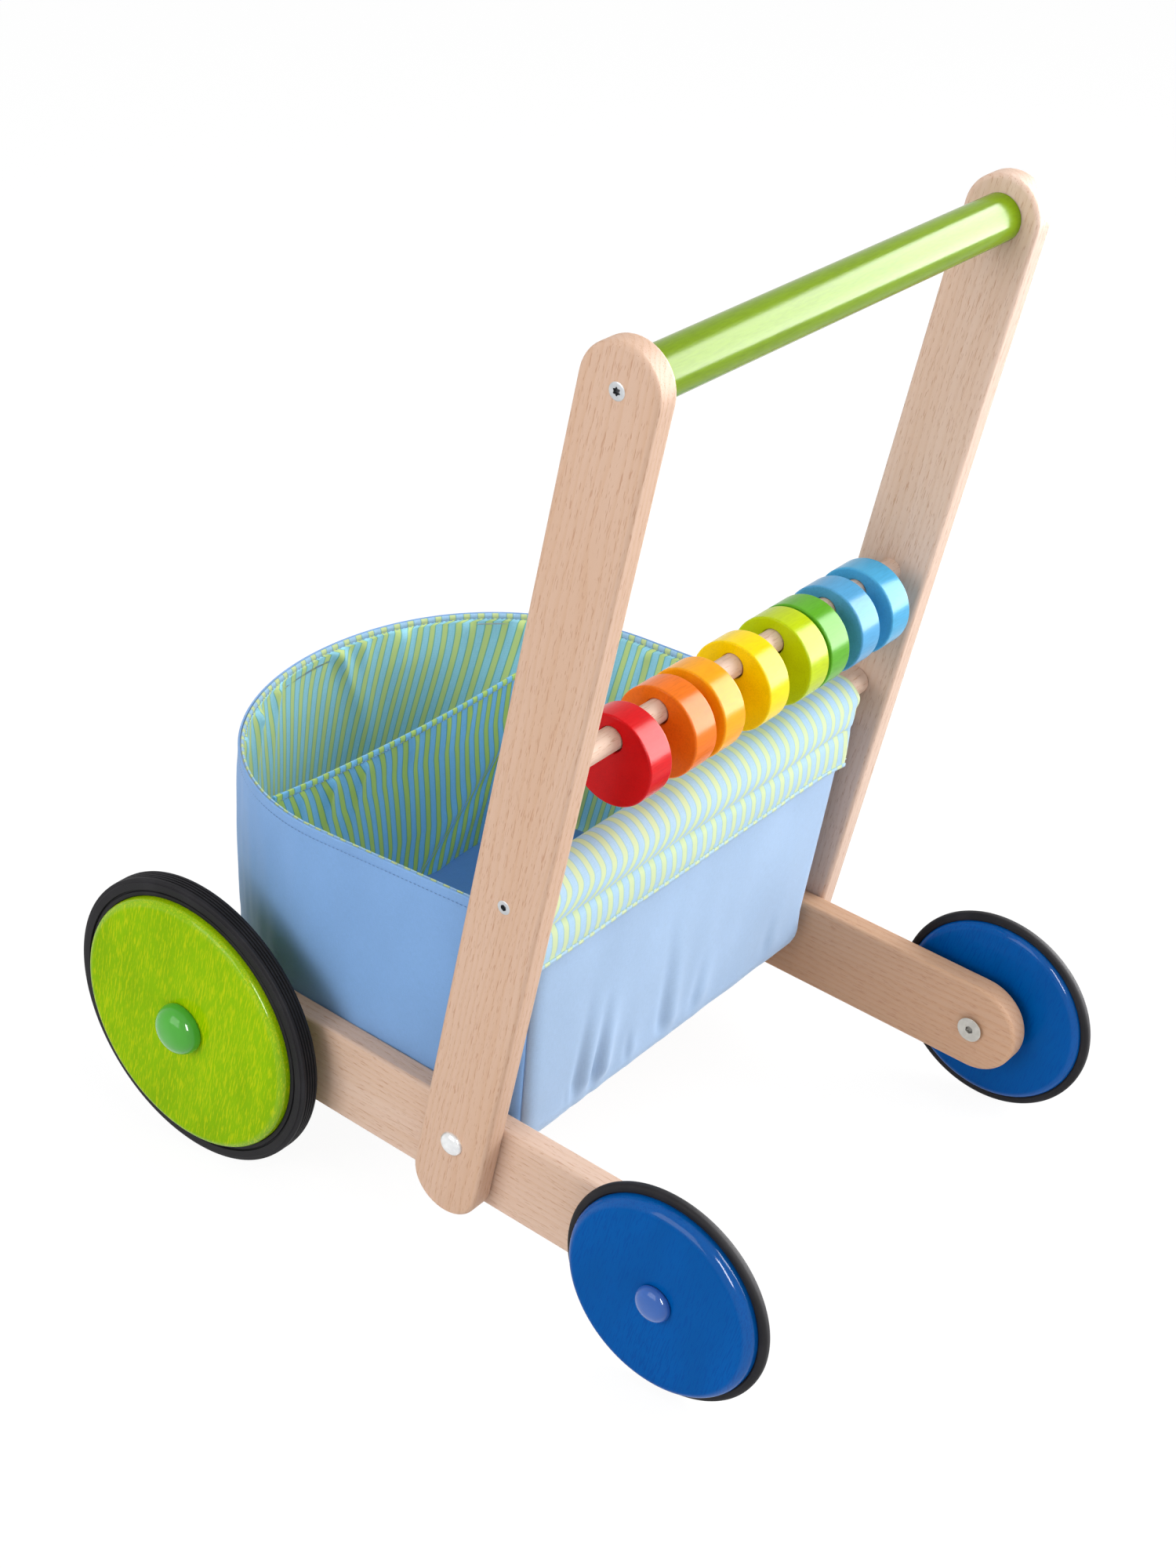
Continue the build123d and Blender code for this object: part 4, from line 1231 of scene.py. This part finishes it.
def gathers(along, below, seed, pitch, depth):
    """Puckers under a stitched hem: how far they push the cloth, and how far they draw it sideways."""
    if below <= 0:
        return 0.0, 0.0
    swell, neighbours = below / 0.008, 2
    start = swell * exp(1 - swell) if swell < 1 else 1.0
    first = int(along / pitch) - neighbours
    push = 0.0
    for index in range(first, first + 2 * neighbours + 2):
        jitter, size, reach = (ripple(index * 1.37, level, seed) for level in (0.5, 3.5, 6.5))
        width = 0.0055 + 0.0030 * size + 0.16 * below
        off = along - (index + 0.5 + 0.9 * jitter) * pitch - 0.8 * jitter * below
        hold = start * exp(-below / (0.022 + 0.050 * abs(reach)))
        push += depth * (0.55 + 1.1 * size) * max(0.0, 1 - abs(off) / width) ** 1.4 * hold
    draw = 0.0075 * ripple(along * 15, 0.0, seed + 4) * exp(-below / 0.014)
    lean = 0.34 * ripple(along * 9, 0.0, seed + 7) * below
    return push, draw + lean


def lining_fold(along, below):
    """Push inwards and sideways shift of the lining at a depth below its seam, in metres."""
    seed, pitch, depth, outermost = 1.7, 0.030, 0.0058, -0.0010
    push, shift = gathers(along, below, seed, pitch, depth)
    slack = 0.0042 * ripple(along * 19, below * 11, 9.2) * clamped(below / 0.02)
    return max(outermost, push + slack), shift


class WALKER_OT_basket_inside(bpy.types.Operator):
    """Striped lining and the padded floor"""
    bl_idname = "walker.basket_inside"
    bl_label = "Basket Inside"

    def execute(self, context):
        sizes = settings("cloth")
        # The lining's print is deepened and lifted: painted shade and painted light inside the basket
        stripes = striped_cloth("lining_poplin", 1.35, bright=(1.56, 1.56, 2.0), ripe=0.82)
        columns = wall_columns() + back_columns()[1:]
        rows, clear = 52, 0.0001
        levels = [("foot", radians(degrees)) for degrees in (72, 54, 36, 18)]
        levels += [("wall", (step / rows) ** 0.8) for step in range(rows + 1)]
        run = lengths([basket_point(column, 1.0, 0.0)[0] for column in columns])
        verts, uvs = [], []
        for kind, value in levels:
            for index, column in enumerate(columns):
                foot, out = basket_point(column, 0.0, sizes.wall)
                top = on_rim(column, -sizes.wall - clear, -sizes.hem)
                if kind == "wall":
                    point, hold = foot.lerp(top, value), 1.0
                else:
                    point, hold = foot_point(column, value, sizes.wall)[0], cos(value)
                push, shift = lining_fold(run[index], top.z - point.z)
                verts.append(point - out * push * hold)
                uvs.append((run[index] + shift, point.z))
        height = lengths(verts[len(columns) // 2::len(columns)])[-1]
        made = piece("basket_lining_cloth", verts, grid_faces(len(levels), len(columns)), stripes, "frame",
                     "striped_cloth", uvs, sharp=60)
        made.data.flip_normals()
        thicken(made, sizes.cloth)
        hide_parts("basket_lining")
        pad_clear, pad_thickness = 0.0012, 0.012
        # The floor pad's cloth is deepened: painted shade at the bottom of the basket
        floor = flat_sheet("basket_floor_pad", sizes.wall + pad_clear, floor_rise,
                           (0, 0.012, 0.03, 0.07, 0.14, 0.25, 0.4, 0.6, 0.8, 1.0),
                           plain_cloth("floor_poplin", 1.5), "blue_cloth")
        thicken(floor, pad_thickness)
        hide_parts("floor_pad")
        return {"FINISHED"}


def floor_rise(point, depth):
    """Height of the padded floor above the deck: drawn down at its edge, softly uneven inside."""
    edge_drop, lumps, ease = 0.0110, 0.0010, 0.13
    crown = 1 - exp(-depth / ease)
    uneven = lumps * crown * ripple(point.x * 24, point.y * 24, 4.4)
    return settings("cloth").floor_rise - edge_drop * (1 - crown) + uneven


# Divider
DIVIDER_INSET = 0.0012


def divider_height(share):
    """Height of the divider's top, from the right end at -1 to the left end at 1."""
    below_rim, sag, tilt = 0.0078, 0.0050, 0.0012
    return rim_top - below_rim + sag * share * share + tilt * share


class WALKER_OT_divider(bpy.types.Operator):
    """Striped panel between the two compartments"""
    bl_idname = "walker.divider"
    bl_label = "Divider"

    def execute(self, context):
        # The divider's print is deepened and lifted less: painted shade, with some painted light, inside
        # the basket
        stripes = striped_cloth("divider_poplin", 1.7, bright=(1.22, 1.36, 1.42), ripe=0.9)
        low, high = box("basket_divider")
        thickness, foot_in, sag, clear = 0.0018, 0.0005, 0.006, 0.0004
        top_y, lean = high.y - DIVIDER_INSET, high.y - low.y - 2 * DIVIDER_INSET
        foot_z = low.z - foot_in
        columns, rows = 150, 52
        # Depths below the top edge, closer where the hem turns over and is sewn
        hem_end = 0.0046
        depths = [0, 0.0004, 0.0012, 0.0021, 0.0027, 0.0030, 0.0033, 0.0038]
        depths += [hem_end + (high.z - foot_z - hem_end) * (step / rows) ** 1.1 for step in range(rows + 1)]
        verts, uvs = [], []
        for depth in depths:
            down = depth / depths[-1]
            for column in range(columns + 1):
                share = 2 * column / columns - 1
                top = divider_height(share)
                z = top + (foot_z - top) * down
                y = top_y - lean * down - sag * down ** 2
                x = share * (inner_half_width(y, z) - clear)
                push, shift = divider_fold(x, z, depth, down)
                verts.append((x, y + push * (1 - abs(share) ** 8), z))
                uvs.append((x + shift, z))
        made = piece("basket_divider_cloth", verts, grid_faces(len(depths), columns + 1), stripes, "frame",
                     "striped_cloth", uvs, sharp=60)
        thicken(made, thickness, offset=0.0)
        soft = made.modifiers.new("Soft Edge", "BEVEL")
        soft.width, soft.segments, soft.limit_method = 0.0007, 2, "ANGLE"
        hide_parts("basket_divider")
        return {"FINISHED"}


def inner_half_width(y, z):
    """Half the width inside the basket at a place."""
    slack = 0.0016
    inset = settings("cloth").wall + slack
    half_rim, front_rim, _, _ = rim_shape(inset)
    half_floor, front_floor, _, _ = floor_shape(inset)
    front_floor += deck_origin.y
    shoulder_z = deck_origin.z + (y - deck_origin.y) * rail_dir.z / rail_dir.y + rail_half_height
    share = clamped((z - shoulder_z) / (rim_top - shoulder_z))
    half = half_floor + (half_rim - half_floor) * share
    turn = front_floor + (front_rim - front_floor) * share + half
    return sqrt(max(1e-8, half * half - min(0.0, y - turn) ** 2))


def divider_fold(x, z, depth, down):
    """Push and sideways draw of the divider, in metres: its hem, the puckers below, a slanting crease."""
    hem, hem_proud, hem_shift = settings("cloth").hem, 0.0004, 0.0022
    below = depth - hem
    if below < 0:
        return hem_proud * sin(pi * depth / hem) ** 0.5, hem_shift
    seed, start, pitch, pucker = 3.1, 0.3, 0.030, 0.0050
    push, shift = gathers(x + start, below, seed, pitch, pucker)
    shift -= 0.006 * exp(-below / 0.014) * clamped(x / 0.05)
    slack = 0.0030 * ripple(x * 17, down * 1.3, 6.6) * min(1.0, down / 0.2)
    # The crease runs through one low point at a slope, and fades in below its upper end
    crease_x, crease_z, slope, crease_top, fade = -0.0076, 0.1018, 1.06, 0.178, 0.045
    off = 0.69 * (x - crease_x + slope * (z - crease_z))
    deep = clamped((crease_top - z) / fade)
    crease = deep * (0.0018 * bell(off - 0.011, 0.009) + 0.0010 * bell(off + 0.011, 0.008)
                     - 0.0032 * bell(off, 0.0050))
    return push - hem_proud + slack + crease, shift + 0.0085 * deep * tanh(off / 0.0060)


# Section of the rim binding: how far out and up from the rim's top edge
BINDING = ((-0.0015, -0.0018), (-0.0016, -0.0008), (-0.0020, -0.0001), (-0.0025, -0.0002),
           (-0.0029, -0.0007), (-0.0031, -0.0014), (-0.0032, -0.0022), (-0.0029, -0.0029),
           (-0.0031, -0.0034), (-0.0028, -0.0044), (-0.0024, -0.0062), (-0.0024, -0.0090))


def rim_path():
    """Places along the bound part of the rim: outer face, direction out, distance from the rear seam."""
    tucked = 0.012
    rear = box("rim_binding")[1].y + tucked
    spots = [plan(column, *rim_shape(0.0)) for column in wall_columns()]
    run = lengths([point for point, _ in spots])
    return [(point, out, along) for (point, out), along in zip(spots, run) if point.y <= rear]


class WALKER_OT_rim(bpy.types.Operator):
    """Striped binding folded over the rim"""
    bl_idname = "walker.rim"
    bl_label = "Rim Binding"

    def execute(self, context):
        # The binding's print is washed a little pale: painted light on the rim's top
        stripes = striped_cloth("binding_poplin", 1.0, 0.1)
        thickness, edge, heart_x, heart_z, taper, least = 0.0004, -0.001, -0.0020, -0.002, 0.004, 0.0005
        path = rim_path()
        start, end = path[0][2], path[-1][2]
        down = lengths([Vector(p) for p in BINDING])
        verts, uvs = [], []
        for point, out, along in path:
            # The section shrinks to its heart at both ends
            full = min(1.0, (min(along - start, end - along) + least) / taper) ** 0.5
            for (x, z), depth in zip(BINDING, down):
                pucker = 0.00016 * ripple(along * 260, 0.0, 8.8) * (1 if z < edge else 0.3)
                x = heart_x + (x - heart_x) * full + pucker
                z = heart_z + (z - heart_z) * full
                verts.append(beside_rim(point, out, x, z))
                uvs.append((along, depth))
        made = piece("rim_binding_cloth", verts, grid_faces(len(path), len(BINDING)), stripes, "frame",
                     "striped_cloth", uvs, sharp=70)
        thicken(made, thickness)
        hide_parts("rim_binding")
        end - start
        return {"FINISHED"}


def flap_path():
    """Flap's line in the (y, z) plane: up inside, loosely over the rod, in to its seam, down to its hem."""
    y, z = basket_rod.y, basket_rod.z
    loose, hem_clear = 0.0010, 0.0012
    turn = span("basket_rod").z / 2 + loose
    _, panel_y, panel_z = box("basket_back_panel")[1]
    made = [(panel_y - 0.0022, panel_z - 0.004), (panel_y - 0.0050, panel_z + 0.0035),
            (panel_y - 0.0085, z - 0.0085)]
    made += [(y + turn * cos(radians(angle)), z + turn * sin(radians(angle)))
             for angle in range(200, 75, -15)]
    hem = box("rear_flap")[0].z + hem_clear
    made += [(y + 0.0052, z + 0.0072), (y + 0.0094, z + 0.0040), (y + 0.0126, z - 0.0006),
             (y + 0.0140, z - 0.0060), (y + 0.0132, z - 0.0112), (y + 0.0106, z - 0.0152),
             (y + 0.0076, z - 0.0170), (y + 0.0080, z - 0.0186), (y + 0.0094, z - 0.0212),
             (y + 0.0097, z - 0.0260), (y + 0.0090, z - 0.0320), (y + 0.0080, hem + 0.0030),
             (y + 0.0078, hem)]
    return made


def smooth_line(points, count):
    """Even points along a smooth curve through given ones."""
    curve = bpy.data.curves.new("line", "CURVE")
    curve.dimensions = "3D"
    spline = curve.splines.new("BEZIER")
    spline.bezier_points.add(len(points) - 1)
    for knot, (y, z) in zip(spline.bezier_points, points):
        knot.co = (0, y, z)
        knot.handle_left_type = knot.handle_right_type = "AUTO"
    spline.resolution_u = 12
    holder = bpy.data.objects.new("line", curve)
    mesh = bpy.data.meshes.new_from_object(holder)
    dense = [vertex.co.copy() for vertex in mesh.vertices]
    bpy.data.objects.remove(holder)
    bpy.data.curves.remove(curve)
    bpy.data.meshes.remove(mesh)
    run = lengths(dense)
    made, at = [], 0
    for step in range(count + 1):
        target = run[-1] * step / count
        while at < len(run) - 2 and run[at + 1] < target:
            at += 1
        share = (target - run[at]) / max(1e-9, run[at + 1] - run[at])
        made.append(dense[at].lerp(dense[at + 1], share))
    return made, run[-1]


def flap_seam(line):
    """Which point of the flap's line lies in its seam."""
    seam_z = basket_rod.z - 0.0172
    return min((index for index, spot in enumerate(line) if spot.y > basket_rod.y),
               key=lambda index: abs(line[index].z - seam_z))


def flap_wave(x, z):
    """Unevenness of the hanging part of the flap, in metres."""
    above_rod, ramp = 0.004, 0.012
    ease = clamped((basket_rod.z + above_rod - z) / ramp)
    return ease * (0.0007 * ripple(x * 16, z * 40, 2.9) + 0.0002 * ripple(x * 60, z * 90, 5.7)
                   + 0.0006 * ripple(x * 9, 0.0, 7.1))


class WALKER_OT_flap(bpy.types.Operator):
    """Striped flap that is sewn round the basket rod and hangs over the back"""
    bl_idname = "walker.flap"
    bl_label = "Rear Flap"

    def execute(self, context):
        # The flap's print is washed pale: painted glare and sheen where the key light falls on it
        stripes = striped_cloth("flap_poplin", 1.0, 0.26)
        low, high = box("rear_flap")
        steps, columns = 110, 150
        thickness, hem_height, hem_proud = 0.0008, 0.0034, 0.0006
        pitch = settings("cloth").stripe_pitch
        left_end = box("left_upright")[0].x - 0.0008
        line, run = smooth_line(flap_path(), steps)
        seam = flap_seam(line)
        hem = [spot for spot in line if spot.y > basket_rod.y and spot.z < low.z + hem_height]
        rows = [(spot, 0.0, run * step / steps, step > seam) for step, spot in enumerate(line)]
        rows += [(spot, hem_proud, run, True) for spot in hem]
        verts, uvs = [], []
        for spot, proud, length, band in rows:
            behind = spot.y > basket_rod.y
            below = max(0.0, basket_rod.z - spot.z) if behind else 0.0
            right_end = high.x - 0.0060 - 0.19 * below
            for column in range(columns + 1):
                share = 2 * column / columns - 1
                x = share * (right_end if share < 0 else left_end)
                # The right end is drawn flat, and the print twists towards the left end above the seam
                flat = 0.8 * exp(-(share + 1) / 0.12) * min(1.0, below / 0.006)
                push = flap_wave(x, spot.z) + proud if behind else 0.0
                push += (basket_rod.y + 0.0105 - spot.y) * flat
                twist = -0.015 * ((share + 1) / 2) ** 0.7 * min(1.0, below / 0.0165) ** 1.5
                verts.append((x, spot.y + push, spot.z - proud * 0.3))
                uvs.append((x + (0.70 * pitch if proud else 0.2 * pitch if band else twist), length))
        faces = grid_faces(len(line), columns + 1)
        faces += grid_faces(len(hem), columns + 1, offset=len(line) * (columns + 1))
        made = piece("rear_flap_cloth", verts, faces, stripes, "frame", "striped_cloth", uvs, sharp=60)
        thicken(made, thickness, offset=0.0)
        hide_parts("rear_flap")
        return {"FINISHED"}


# Stitches
def stitch_tree():
    """Geometry Nodes group that lays stitches along curves."""
    tree = bpy.data.node_groups.new("Seam Stitches", "GeometryNodeTree")
    names = interface(tree, ("Geometry", "NodeSocketGeometry"), ("Pitch", "NodeSocketFloat"),
                      ("Length", "NodeSocketFloat"), ("Radius", "NodeSocketFloat"),
                      ("Thread", "NodeSocketMaterial"))
    given = tree_node(tree, "NodeGroupInput").outputs
    points = tree_node(tree, "GeometryNodeCurveToPoints", {"mode": "LENGTH"},
                       {"Curve": given["Geometry"], "Length": given["Pitch"]})
    half = tree_node(tree, "ShaderNodeMath", {"operation": "MULTIPLY"}, {0: given["Length"], 1: 0.5})
    size = tree_node(tree, "ShaderNodeCombineXYZ", None,
                     {"X": half.outputs[0], "Y": given["Radius"], "Z": given["Radius"]})
    bead = tree_node(tree, "GeometryNodeMeshUVSphere", None, {"Segments": 6, "Rings": 4, "Radius": 1.0})
    turn = tree_node(tree, "FunctionNodeAlignRotationToVector", {"axis": "X"},
                     {"Vector": points.outputs["Tangent"]})
    laid = tree_node(tree, "GeometryNodeInstanceOnPoints", None,
                     {"Points": points.outputs["Points"], "Instance": bead.outputs["Mesh"],
                      "Rotation": turn.outputs["Rotation"], "Scale": size.outputs[0]})
    close_tree(tree, laid.outputs["Instances"], given["Thread"])
    return tree, names


def seam_lines():
    """Lines that the seams follow."""
    hem = settings("cloth").hem
    rim = rim_path()[2:-2]
    inside = [beside_rim(point, out, -0.0031, -hem) for point, out, _ in rim]
    outside = [beside_rim(point, out, 0.00005, -0.0056) for point, out, _ in rim]
    divider, steps, clear = [], 80, 0.001
    divider_y = box("basket_divider")[1].y - DIVIDER_INSET + 0.0010
    for step in range(steps + 1):
        share = 2 * (0.02 + 0.96 * step / steps) - 1
        z = divider_height(share) - hem
        divider.append(Vector((share * (inner_half_width(divider_y, z) - clear), divider_y, z)))
    return {"basket": [inside, outside, divider], "flap": flap_seam_lines()}


def flap_seam_lines():
    """Seam under the basket rod, and the one along the flap's hem."""
    low, high = box("rear_flap")
    end_clear, hem_height, steps = 0.010, 0.0032, 120
    line, _ = smooth_line(flap_path(), 96)
    seam = line[flap_seam(line)]
    edge = min((spot for spot in line if spot.y > basket_rod.y),
               key=lambda spot: abs(spot.z - low.z - hem_height))
    first, last = low.x + end_clear, high.x - end_clear
    places = [first + (last - first) * step / steps for step in range(steps + 1)]
    return [[Vector((x, spot.y + flap_wave(x, spot.z) + lift, spot.z)) for x in places]
            for spot, lift in ((seam, 0.0005), (edge, 0.0011))]


class WALKER_OT_stitches(bpy.types.Operator):
    """Thread of the seams that show"""
    bl_idname = "walker.stitches"
    bl_label = "Stitches"

    def execute(self, context):
        sizes = settings("cloth")
        tree, names = stitch_tree()
        tones = {"basket": sizes.thread, "flap": sizes.pale_thread}
        for group, lines in seam_lines().items():
            curve = bpy.data.curves.new(f"{group}_seams", "CURVE")
            curve.dimensions = "3D"
            for line in lines:
                spline = curve.splines.new("POLY")
                spline.points.add(len(line) - 1)
                for knot, spot in zip(spline.points, line):
                    knot.co = (*spot, 1)
            finish = thread(f"{group}_thread", tuple(tones[group]))
            mesh = realized(curve, tree, {names["Pitch"]: sizes.stitch_pitch,
                                          names["Length"]: sizes.stitch_length,
                                          names["Radius"]: sizes.thread_radius, names["Thread"]: finish},
                            f"{group}_stitches")
            dressed(f"{group}_stitches", mesh, finish, "frame", "blue_cloth", sharp=80)
        return {"FINISHED"}


class WALKER_OT_hidden_parts(bpy.types.Operator):
    """Finishes of the frame's own pieces that stay"""
    bl_idname = "walker.hidden_parts"
    bl_label = "Inner Parts"

    def execute(self, context):
        ply = beech("birch_ply", ACROSS, 4.2)
        bar = beech("beech_cross_bar", ACROSS, 5.1)
        nylon = moulded("natural_nylon", tuple(settings("wheels").nylon), 0.4)
        steel = plated("plain_zinc", (0.60, 0.61, 0.63), 0.3, 0.18)
        finishes = {"base_board": ply, "front_cross_bar": bar, "rear_cross_bar": bar,
                    "cross_bar_dowels": bar, "locating_dowels": bar, "axle_spacers": nylon,
                    "axle_washers": steel, "axle_lock_nuts": steel, "frame_nuts": steel,
                    "board_screws": steel, "rim_wire": steel}
        for end in ("front", "rear"):
            for side in SIDES:
                finishes[f"{end}_{side}_bush"] = nylon
        for node, material in finishes.items():
            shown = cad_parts[node]
            for index in range(len(shown.material_slots)):
                shown.material_slots[index].material = material
        return {"FINISHED"}


class WALKER_OT_stage(bpy.types.Operator):
    """Floor, light and camera"""
    bl_idname = "walker.stage"
    bl_label = "Stage"

    def execute(self, context):
        setup = settings("stage")
        scene = context.scene
        scene.view_settings.view_transform = "Standard"
        size = 4.0
        mesh = bpy.data.meshes.new("studio_floor")
        mesh.from_pydata([(-size, -size, 0), (size, -size, 0), (size, size, 0), (-size, size, 0)], [],
                         [(0, 1, 2, 3)])
        floor = bpy.data.objects.new("studio_floor", mesh)
        scene.collection.objects.link(floor)
        mesh.materials.append(self.floor_paper())
        scene.world = self.white_world(setup.sky_light)
        aim = Vector((0, 0, 0.22))
        for name, place, width, height, power, rays in (
                ("key_softbox", (-1.15, 1.20, 0.95), 1.4, 1.4, setup.key_power, "diffuse"),
                ("top_softbox", (0.00, 0.75, 1.80), 1.2, 1.2, setup.top_power, "diffuse"),
                ("fill_softbox", (3.40, -0.60, 1.90), 2.6, 2.6, setup.fill_power, "both"),
                ("window", (-1.35, 1.05, 0.62), 2.2, 2.2, setup.window_power, "glossy"),
                ("glint_softbox", (1.25, 1.70, 1.10), 0.4, 1.1, setup.glint_power, "glossy")):
            lamp = bpy.data.lights.new(name, "AREA")
            lamp.shape, lamp.size, lamp.size_y, lamp.energy = "RECTANGLE", width, height, power
            shown = bpy.data.objects.new(name, lamp)
            shown.location = place
            shown.rotation_euler = (aim - Vector(place)).to_track_quat("-Z", "Y").to_euler()
            shown.visible_diffuse, shown.visible_glossy = rays != "glossy", rays != "diffuse"
            scene.collection.objects.link(shown)
        camera = bpy.data.objects.new("camera", bpy.data.cameras.new("camera"))
        camera.data.lens, camera.data.sensor_width = setup.lens, 36
        camera.data.shift_x, camera.data.shift_y = setup.shift
        camera.matrix_world = self.camera_matrix(setup)
        scene.collection.objects.link(camera)
        scene.camera = camera
        return {"FINISHED"}

    @staticmethod
    def camera_matrix(setup):
        """Camera's place and turn from its heading, height angle and tilt."""
        a, e, r = setup.azimuth, setup.elevation, setup.roll
        right = Vector((cos(a), sin(a), 0))
        back = Vector((sin(a) * cos(e), -cos(a) * cos(e), sin(e)))
        up = back.cross(right)
        turned = Matrix((right * cos(r) + up * sin(r), up * cos(r) - right * sin(r), back)).transposed()
        return Matrix.Translation(Vector(setup.eye)) @ turned.to_4x4()

    @staticmethod
    def floor_paper():
        """White paper that keeps a light shadow and shows white to the camera, to gloss and to glass."""
        finish = Finish("studio_paper")
        paper = finish.node("ShaderNodeBsdfDiffuse", None, {"Color": (0.86, 0.86, 0.86, 1)})
        glow = finish.node("ShaderNodeEmission", None, {"Color": WHITE, "Strength": 1.06})
        mixed = finish.node("ShaderNodeMixShader", None, {0: finish.shown() * 0.88, 1: paper, 2: glow})
        finish.node("ShaderNodeOutputMaterial", None, {"Surface": mixed})
        return finish.owner

    @staticmethod
    def white_world(sky_light):
        """Even light, and plain white where it is seen, mirrored or looked through."""
        finish = Finish("studio_world", "worlds")
        light, backdrop = (finish.node("ShaderNodeBackground", None, {"Color": WHITE, "Strength": strength})
                           for strength in (sky_light, 1.0))
        mixed = finish.node("ShaderNodeMixShader", None, {0: finish.shown(), 1: light, 2: backdrop})
        finish.node("ShaderNodeOutputWorld", None, {"Surface": mixed})
        return finish.owner


STEPS = (WALKER_OT_timber, WALKER_OT_handle, WALKER_OT_rings, WALKER_OT_wheels, WALKER_OT_fasteners,
         WALKER_OT_basket_outside, WALKER_OT_basket_inside, WALKER_OT_divider, WALKER_OT_rim,
         WALKER_OT_flap, WALKER_OT_stitches, WALKER_OT_hidden_parts, WALKER_OT_stage)
GROUPS = {"walker_timber": TimberSettings, "walker_lacquer": LacquerSettings,
          "walker_wheels": WheelSettings, "walker_cloth": ClothSettings, "walker_stage": StageSettings}


class WALKER_PT_sidebar(bpy.types.Panel):
    """Settings and steps of the walker"""
    bl_idname = "WALKER_PT_sidebar"
    bl_label = "Baby Walker"
    bl_space_type = "VIEW_3D"
    bl_region_type = "UI"
    bl_category = "Walker"

    def draw(self, context):
        for step in STEPS:
            self.layout.operator(step.bl_idname)
        for name in GROUPS:
            area = self.layout.box()
            group = getattr(context.scene, name)
            for key in group.__annotations__:
                area.prop(group, key)


def register():
    for group in (*GROUPS.values(), *STEPS, WALKER_PT_sidebar):
        bpy.utils.register_class(group)
    for name, group in GROUPS.items():
        setattr(bpy.types.Scene, name, PointerProperty(type=group))


def unregister():
    for name in GROUPS:
        delattr(bpy.types.Scene, name)
    for group in (WALKER_PT_sidebar, *reversed(STEPS), *reversed(GROUPS.values())):
        bpy.utils.unregister_class(group)


def main():
    register()
    for step in STEPS:
        area, name = step.bl_idname.split(".")
        getattr(getattr(bpy.ops, area), name)()


if __name__ == "__main__":
    main()
